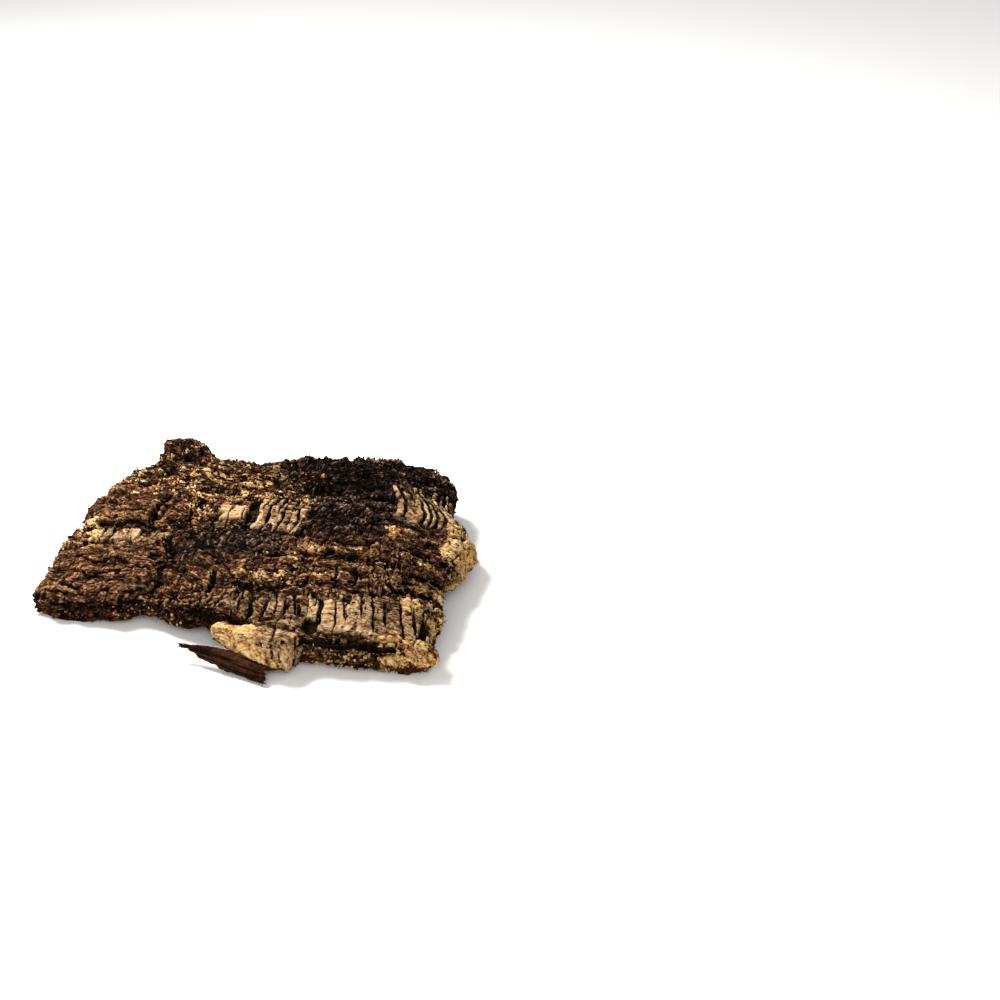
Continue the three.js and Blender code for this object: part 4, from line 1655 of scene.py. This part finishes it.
@dataclass
class LooseCork:
    """Crumbs and hair-like fibres that hang on the torn rim. Sizes in millimetres."""

    slab: Slab
    fringes: tuple[Fringe, ...] = FRINGES
    # Least and greatest sizes of the crumbs and lengths of the fibres, and the fibres' radius.
    crumb: Pair = (0.7, 2.4)
    fibre: Pair = (1.2, 4.6)
    thick: float = 0.24
    crumb_seed: int = 201
    fibre_seed: int = 202

    def places(self, fringe: Fringe, count: int, random: np.random.Generator) -> tuple[Array, Array]:
        """Choose places on the torn wall.

        Args:
            fringe: The stretch of the rim that they are in.
            count: How many there are.
            random: Source of chance.

        Returns:
            Points of the wall, and the directions out of it there.
        """
        wall = self.slab.torn
        out = wall[wall.shape[0] // 2]
        out = np.roll(out, -6, axis=0) - np.roll(out, 6, axis=0)
        out = unit(np.stack([out[:, 1], -out[:, 0], 0 * out[:, 0]], axis=-1))
        inside = (np.abs(wall[0, :, 0] - fringe.at[0]) < fringe.half[0]) & (
            np.abs(wall[0, :, 1] - fringe.at[1]) < fringe.half[1])
        column = random.choice(np.nonzero(inside)[0], count)
        row = random.integers(1, wall.shape[0], count)
        return wall[row, column], out[column]

    def crumbs(self, finish: bpy.types.Material) -> bpy.types.Object:
        """Make the crumbs: rough little polyhedra of 20 faces.

        Args:
            finish: Material of the piece.

        Returns:
            The crumbs as one piece.
        """
        random = np.random.default_rng(self.crumb_seed)
        bpy.ops.mesh.primitive_ico_sphere_add(subdivisions=1, radius=1)
        ball = bpy.context.object
        corners = np.array([vertex.co[:] for vertex in ball.data.vertices])
        faces = np.array([face.vertices[:] for face in ball.data.polygons])
        bpy.data.objects.remove(ball, do_unlink=True)
        mesh = BarkMesh("rim_crumbs")
        for fringe in self.fringes:
            at, out = self.places(fringe, fringe.crumbs, random)
            number = len(at)
            size = random.uniform(*self.crumb, (number, 1, 1)) / 2
            size = size * random.uniform(0.5, 1.0, (number, 1, 3))
            shape = corners * random.uniform(0.7, 1.15, (number, len(corners), 1)) * size
            points = shape + (at + 0.3 * out)[:, None]
            points[..., 2] = np.maximum(FLOOR_GAP, points[..., 2])
            tan = (random.uniform(size=(number, 1)) < fringe.tan) * 0.95
            rusty = (1 - tan) * (random.uniform(size=(number, 1)) < 0.5)
            look = {Mask.TAN: tan, Mask.RUST: rusty, Mask.TONE: random.uniform(size=(number, 1)),
                    Mask.EDGE: random.uniform(0, 0.6, (number, 1))}
            numbers = mesh.add(points, look)
            mesh.triangles.append(numbers[:, faces].reshape(-1, 3))
        return mesh.build(finish, smooth=False)

    def fibres(self, extra: tuple[Array, Array], finish: bpy.types.Material) -> bpy.types.Object:
        """Make the fibres: three-sided tapering threads, on the rim and at other places.

        Args:
            extra: Points and directions of fibres away from the rim.
            finish: Material of the piece.

        Returns:
            The fibres as one piece.
        """
        random = np.random.default_rng(self.fibre_seed)
        roots = [self.places(fringe, fringe.fibres, random) for fringe in self.fringes]
        at = np.concatenate([at for at, _ in roots] + [extra[0]])
        out = np.concatenate([out for _, out in roots] + [extra[1]])
        number = len(at)
        along = unit(out + random.normal(0, 0.5, (number, 3)) - [0, 0, 0.25])
        aside = unit(np.cross(along, [0.1, 0.2, 1.0]))
        above = np.cross(along, aside)
        bow = random.normal(0, 0.35, (number, 1, 1))
        length = random.uniform(*self.fibre, (number, 1, 1)) * random.uniform(0.5, 1, (number, 1, 1))
        w = np.array([-0.2, 0.3, 0.65, 1.0])[None, :, None]
        path = at[:, None] + length * (w * along[:, None] + bow * w ** 2 * aside[:, None])
        turn = np.arange(3) * 2 * math.pi / 3
        radius = self.thick * random.uniform(0.5, 1.2, (number, 1, 1, 1)) * (1.1 - w[..., None])
        ring = (np.cos(turn)[:, None] * aside[:, None, None]
                + np.sin(turn)[:, None] * above[:, None, None])
        points = path[:, :, None] + radius * ring
        points[..., 2] = np.maximum(FLOOR_GAP, points[..., 2])
        mesh = BarkMesh("loose_fibres")
        look = {Mask.RUST: 0.9, Mask.TONE: random.uniform(0, 0.8, (number, 1, 1)), Mask.PAINTED_SHADE_AND_DARK_TONE: 0.15}
        numbers = mesh.add(points, look)
        for k in range(3):
            a, b = numbers[:, :-1, k], numbers[:, :-1, (k + 1) % 3]
            c, d = numbers[:, 1:, (k + 1) % 3], numbers[:, 1:, k]
            mesh.quads.append(np.stack([a, b, c, d], axis=-1).reshape(-1, 4))
        mesh.triangles.append(numbers[:, 0, ::-1])
        mesh.triangles.append(numbers[:, -1, :])
        return mesh.build(finish)


def linear(code: str) -> tuple[float, float, float, float]:
    """Return a colour given as sRGB hex in linear light, with full alpha."""
    parts = [int(code[k:k + 2], 16) / 255 for k in (1, 3, 5)]
    return tuple(c / 12.92 if c <= 0.04045 else ((c + 0.055) / 1.055) ** 2.4 for c in parts) + (1.0,)


def put(tree: bpy.types.NodeTree, kind: str, links: dict[int | str, object] | None = None,
        stops: Ramp = (), **settings: object) -> bpy.types.Node:
    """Add a node to a tree.

    Args:
        tree: Node tree of a material or world.
        kind: Blender's name of the node.
        links: Values, hex colours or other nodes' sockets for its inputs, by name or number.
        stops: Places and colours of its ramp, if it has one.
        settings: Values of the node's own properties.

    Returns:
        The node.
    """
    node = tree.nodes.new(kind)
    for name, value in settings.items():
        setattr(node, name, value)
    for key, value in (links or {}).items():
        if isinstance(value, Socket):
            tree.links.new(value, node.inputs[key])
        else:
            node.inputs[key].default_value = linear(value) if isinstance(value, str) else value
    if stops:
        elements = node.color_ramp.elements
        elements.remove(elements[1])
        elements[0].position, elements[0].color = stops[0][0], linear(stops[0][1])
        for at, code in stops[1:]:
            elements.new(at).color = linear(code)
    return node


def weighted_sum(tree: bpy.types.NodeTree, rest: float, *parts: tuple[Socket, float]) -> Socket:
    """Add a chain of nodes that adds up shares of several values.

    Args:
        tree: Node tree of a material.
        rest: Number that the sum starts from.
        parts: The values, each with its share.

    Returns:
        The sum.
    """
    for value, share in parts:
        rest = put(tree, "ShaderNodeMath", {0: value, 1: share, 2: rest},
                   operation="MULTIPLY_ADD").outputs[0]
    return rest


@dataclass(frozen=True)
class CorkFinish:
    """Virgin cork as it was stripped: dry, matt and open, so it has no gloss at all.

    It gives the eye a dark, dusty crust with lighter crumbs, pale plates and fresh tan tears. Shade is
    painted into its cracks and hollows, highlights onto its raised edges, and part of the crust's
    darkness is painted shadow.
    """

    name: str = "virgin_cork_bark"
    # Weathered bark, from its dark crumbs to the light broken ones.
    bark: Ramp = (
        (0.20, "#0a0504"), (0.36, "#1d110b"), (0.50, "#382318"), (0.62, "#573a27"),
        (0.76, "#815b3d"), (0.92, "#bb905d"))
    # The greyer strands of the dark crust.
    ash: Ramp = (
        (0.18, "#080505"), (0.32, "#1b1310"), (0.45, "#3b2c26"), (0.56, "#62503f"),
        (0.68, "#94805f"), (0.84, "#cdb78c"))
    # Fresh cork where it tore.
    torn: Ramp = (
        (0.18, "#40230e"), (0.34, "#885222"), (0.52, "#b98547"), (0.74, "#dfbd86"))
    # The pale outer face of the plates.
    plate: Ramp = (
        (0.15, "#24160d"), (0.34, "#593e28"), (0.50, "#896947"), (0.74, "#c6a67c"))
    # The reddish inner bark.
    inner: Ramp = (
        (0.15, "#1d110b"), (0.45, "#3f2517"), (0.70, "#64391f"), (0.95, "#8d5a31"))
    # Near black, for painted shade in the cracks and hollows and for the dark lines.
    cavity: str = "#070402"
    roughness: float = 0.95
    sheen: float = 0.03
    # How strong the finest parts of its noise are.
    harsh: float = 0.65
    # Turn of the crust's strands away from the trunk in degrees, and how long they are for their width.
    slant: float = 58.0
    strand_length: float = 6.0
    # Stretch of the bark's own layers along the trunk.
    layered: Triple = (0.16, 1, 1)

    def build(self) -> bpy.types.Material:
        """Make the material from the masks and from noise at the size of cork's own grain.

        Returns:
            The material.
        """
        material = bpy.data.materials.new(self.name)
        material.use_nodes = True
        tree = material.node_tree
        tree.nodes.clear()
        place = put(tree, "ShaderNodeTexCoord").outputs["Object"]
        mask = {kind: put(tree, "ShaderNodeAttribute", attribute_name=kind.value).outputs["Fac"]
                for kind in Mask}

        def warped(size_mm: float, reach_mm: float, detail: float) -> Socket:
            """Move places about, so that what lies there wanders.

            Args:
                size_mm: Size of the noise that moves them.
                reach_mm: How far it moves them.
                detail: Octaves of the noise.

            Returns:
                The moved places.
            """
            shift = put(tree, "ShaderNodeTexNoise", {
                "Vector": place, "Scale": 1 / (size_mm * MM), "Detail": detail})
            return put(tree, "ShaderNodeVectorMath", {
                0: shift.outputs["Color"], 1: (reach_mm * MM,) * 3, 2: place},
                operation="MULTIPLY_ADD").outputs[0]

        bent, drift = warped(2.5, 1.8, 3), warped(32, 26, 1)

        def speckle(size_mm: float, detail: float, stretch: Triple = (1, 1, 1)) -> Socket:
            """Make blotches of noise.

            Args:
                size_mm: Size of the blotches.
                detail: Octaves of the noise.
                stretch: Share of its frequency along each axis.

            Returns:
                Values from 0 to 1.
            """
            turned = put(tree, "ShaderNodeMapping", {"Vector": drift, "Scale": stretch})
            return put(tree, "ShaderNodeTexNoise", {
                "Vector": turned.outputs[0], "Scale": 1 / (size_mm * MM), "Detail": detail,
                "Roughness": self.harsh}).outputs["Fac"]

        def crumbs(size_mm: float, stretch: Triple) -> tuple[Socket, Socket, Socket]:
            """Break the surface into crumbs.

            Args:
                size_mm: Size of a crumb.
                stretch: Share of their frequency along each axis.

            Returns:
                Two numbers of each crumb, from 0 to 1, and the distance to its border.
            """
            turned = put(tree, "ShaderNodeMapping", {"Vector": bent, "Scale": stretch}).outputs[0]
            own, border = (put(tree, "ShaderNodeTexVoronoi", {
                "Vector": turned, "Scale": 1 / (size_mm * MM)}, feature=feature)
                for feature in ("F1", "DISTANCE_TO_EDGE"))
            numbers = put(tree, "ShaderNodeSeparateColor", {0: own.outputs["Color"]})
            return numbers.outputs[0], numbers.outputs[1], border.outputs["Distance"]

        coarse, grain = speckle(9, 4), speckle(0.9, 4, (0.22, 1, 1))
        big, fleck, big_border = crumbs(2.2, (0.45, 1, 1))
        small, speck, small_border = crumbs(0.9, (0.7, 1, 1))

        # In the dark crust the layers turn into slanting strands.
        flow = put(tree, "ShaderNodeMapRange", {
            "Value": weighted_sum(tree, 0.0, (mask[Mask.CRUST_AND_PAINTED_SHADOW], 1.0), (coarse, 0.6)),
            "From Min": 0.45, "From Max": 0.95}, interpolation_type="SMOOTHSTEP").outputs[0]
        leaning = put(tree, "ShaderNodeMapping", {
            "Vector": drift, "Rotation": (0, 0, math.radians(self.slant)),
            "Scale": (self.strand_length, 1, 1)}, vector_type="TEXTURE").outputs[0]
        strands, dark_strands = (put(tree, "ShaderNodeTexNoise", {
            "Vector": leaning, "Scale": 1 / (size_mm * MM), "Detail": detail,
            "Roughness": self.harsh}).outputs["Fac"]
            for size_mm, detail in ((1.3, 5), (1.0, 3)))
        layers, dark_lines = (
            put(tree, "ShaderNodeMix", {0: flow, 2: level, 3: slanting}).outputs[0]
            for level, slanting in ((speckle(1.3, 5, self.layered), strands),
                                    (speckle(0.9, 3, self.layered), dark_strands)))

        # How light the bark is, and how light its calmer coats are, with a painted highlight on raised
        # edges and the crust darker, partly as painted shadow.
        tone = weighted_sum(
            tree, -1.29, (big, 0.1), (small, 0.25), (coarse, 0.5), (layers, 1.7), (grain, 0.8),
            (mask[Mask.TONE], 0.12), (mask[Mask.EDGE], 0.26), (mask[Mask.CRUST_AND_PAINTED_SHADOW], -0.35))
        calm = weighted_sum(
            tree, -0.44, (big, 0.10), (small, 0.16), (coarse, 0.35), (layers, 0.6), (grain, 0.45),
            (mask[Mask.TONE], 0.2), (mask[Mask.EDGE], 0.2))
        bark, ash, inner, torn, plate = (
            put(tree, "ShaderNodeValToRGB", {0: value}, stops).outputs[0]
            for value, stops in (
                (tone, self.bark), (tone, self.ash), (calm, self.inner),
                (weighted_sum(tree, 0.20, (tone, 0.88)), self.torn),
                (weighted_sum(tree, -0.24, (calm, 1.65)), self.plate)))

        # How far torn cork, worn plates, painted shade in the cracks between crumbs, dark lines and
        # painted shade in the hollows show.
        fresh = weighted_sum(tree, 0.03, (mask[Mask.TAN], 1.1), (fleck, -0.7), (speck, -0.3))
        weathered = weighted_sum(tree, 0.0, (mask[Mask.PALE], 1.0), (grain, 1.0), (layers, 0.6))
        border = weighted_sum(tree, 0.0, (small_border, 0.6), (big_border, 1.0))
        flecks, worn, cracks, lines, hollow_shade = (
            put(tree, "ShaderNodeMapRange", {
                "Value": value, "From Min": low, "From Max": high, "To Max": top},
                interpolation_type="SMOOTHSTEP").outputs[0]
            for value, low, high, top in (
                (fresh, 0.0, 0.08, 1.0), (weathered, 1.0, 1.75, 1.0), (border, 0.10, 0.02, 0.4),
                (dark_lines, 0.57, 0.65, 0.85), (mask[Mask.PAINTED_SHADE_AND_DARK_TONE], 0.03, 0.65, 0.97)))
        crack_shade = put(tree, "ShaderNodeMath", {
            0: cracks, 1: weighted_sum(tree, 1.0, (mask[Mask.PALE], -0.8))},
            operation="MULTIPLY").outputs[0]

        colour = bark
        for share, coat in (
                (weighted_sum(tree, 0.0, (flow, 0.6)), ash), (mask[Mask.RUST], inner),
                (flecks, torn), (worn, plate), (crack_shade, self.cavity), (lines, self.cavity),
                (hollow_shade, self.cavity)):
            colour = put(tree, "ShaderNodeMix", {0: share, 6: colour, 7: coat},
                         data_type="RGBA").outputs[2]
        height = weighted_sum(
            tree, 0.0, (grain, 0.5), (layers, 2.0), (small_border, 0.2), (big_border, 0.3),
            (small, 0.1), (big, 0.2))
        bump = put(tree, "ShaderNodeBump", {"Strength": 0.9, "Distance": 1.2 * MM, "Height": height})
        shader = put(tree, "ShaderNodeBsdfPrincipled", {
            "Base Color": colour, "Roughness": self.roughness, "Specular IOR Level": self.sheen,
            "Normal": bump.outputs[0]})
        put(tree, "ShaderNodeOutputMaterial", {"Surface": shader.outputs[0]})
        return material


@dataclass(frozen=True)
class Studio:
    """The plain floor, the soft lights and the camera."""

    # The camera's place and aim come from the photograph's view, 30 degrees above the floor.
    azimuth: float = 12.0
    elevation: float = 30.0
    distance: float = 1.065
    aim: tuple[float, float, float] = (0.107, 0.103, 0.0)
    lens: float = 64.8
    floor_size: float = 6.0
    floor_colour: str = "#f4f4f4"
    lamp_colour: str = "#fffaf3"

    def floor(self) -> None:
        """Lay the floor."""
        bpy.ops.mesh.primitive_plane_add(size=self.floor_size, location=(0, 0, 0))
        floor = bpy.context.object
        floor.name = "studio_floor"
        material = bpy.data.materials.new("white_paper_sweep")
        material.use_nodes = True
        shader = material.node_tree.nodes["Principled BSDF"]
        shader.inputs["Base Color"].default_value = linear(self.floor_colour)
        shader.inputs["Roughness"].default_value = 0.9
        floor.data.materials.append(material)

    def light(self, name: str, at: tuple[float, float, float], size: float, power: float) -> None:
        """Hang a square soft light that shines at the slab.

        Args:
            name: Its name.
            at: Its place, in metres.
            size: Its width, in metres.
            power: Its power, in watts.
        """
        data = bpy.data.lights.new(name, "AREA")
        data.size = size
        data.energy = power
        data.color = linear(self.lamp_colour)[:3]
        lamp = bpy.data.objects.new(name, data)
        lamp.location = at
        lamp.rotation_euler = (-Vector(at)).to_track_quat("-Z", "Y").to_euler()
        bpy.context.collection.objects.link(lamp)

    def camera(self) -> None:
        """Set up the camera at the photograph's viewing angle."""
        azimuth, elevation = math.radians(self.azimuth), math.radians(self.elevation)
        target = Vector(self.aim) - Vector(MIDDLE.tolist()) * MM
        away = Vector((math.sin(azimuth) * math.cos(elevation),
                       -math.cos(azimuth) * math.cos(elevation), math.sin(elevation)))
        data = bpy.data.cameras.new("camera")
        data.lens = self.lens
        data.sensor_width = 36
        camera = bpy.data.objects.new("camera", data)
        camera.location = target + away * self.distance
        camera.rotation_euler = (-away).to_track_quat("-Z", "Y").to_euler()
        bpy.context.collection.objects.link(camera)
        bpy.context.scene.camera = camera

    def build(self) -> None:
        """Set up everything that isn't the slab."""
        bpy.context.scene.view_settings.view_transform = "Standard"
        self.floor()
        self.light("key", (-0.5, 0.3, 0.75), 0.3, 24)
        self.light("fill", (0.3, -0.9, 0.6), 0.9, 5)
        world = bpy.data.worlds.new("studio")
        bpy.context.scene.world = world
        world.use_nodes = True
        background = world.node_tree.nodes["Background"]
        background.inputs["Color"].default_value = (1, 1, 1, 1)
        background.inputs["Strength"].default_value = 0.6
        self.camera()


def main() -> None:
    """Build the slab and the studio round it."""
    logging.basicConfig(level=logging.INFO, format="%(name)s: %(message)s")
    Studio().build()
    cork = CorkFinish().build()
    form = Slab()
    face = form.bark()
    slab = form.build(face, cork)
    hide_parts(NODE)
    strip = PeeledStrip()
    pieces = [slab, RimLumps().build(cork), TornBlock().build(cork), strip.build(cork)]
    loose = LooseCork(form)
    pieces += [loose.crumbs(cork), loose.fibres(strip.tips(), cork)]
    pieces += [PalePlates(row).build(face, cork) for row in PLATE_ROWS]
    pieces += [wafers.build(face, cork) for wafers in WAFERS]
    for piece in pieces:
        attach(piece, "root")
        piece.data.calc_loop_triangles()
        LOG.info("%s: %d triangles", piece.name, len(piece.data.loop_triangles))


if __name__ == "__main__":
    main()
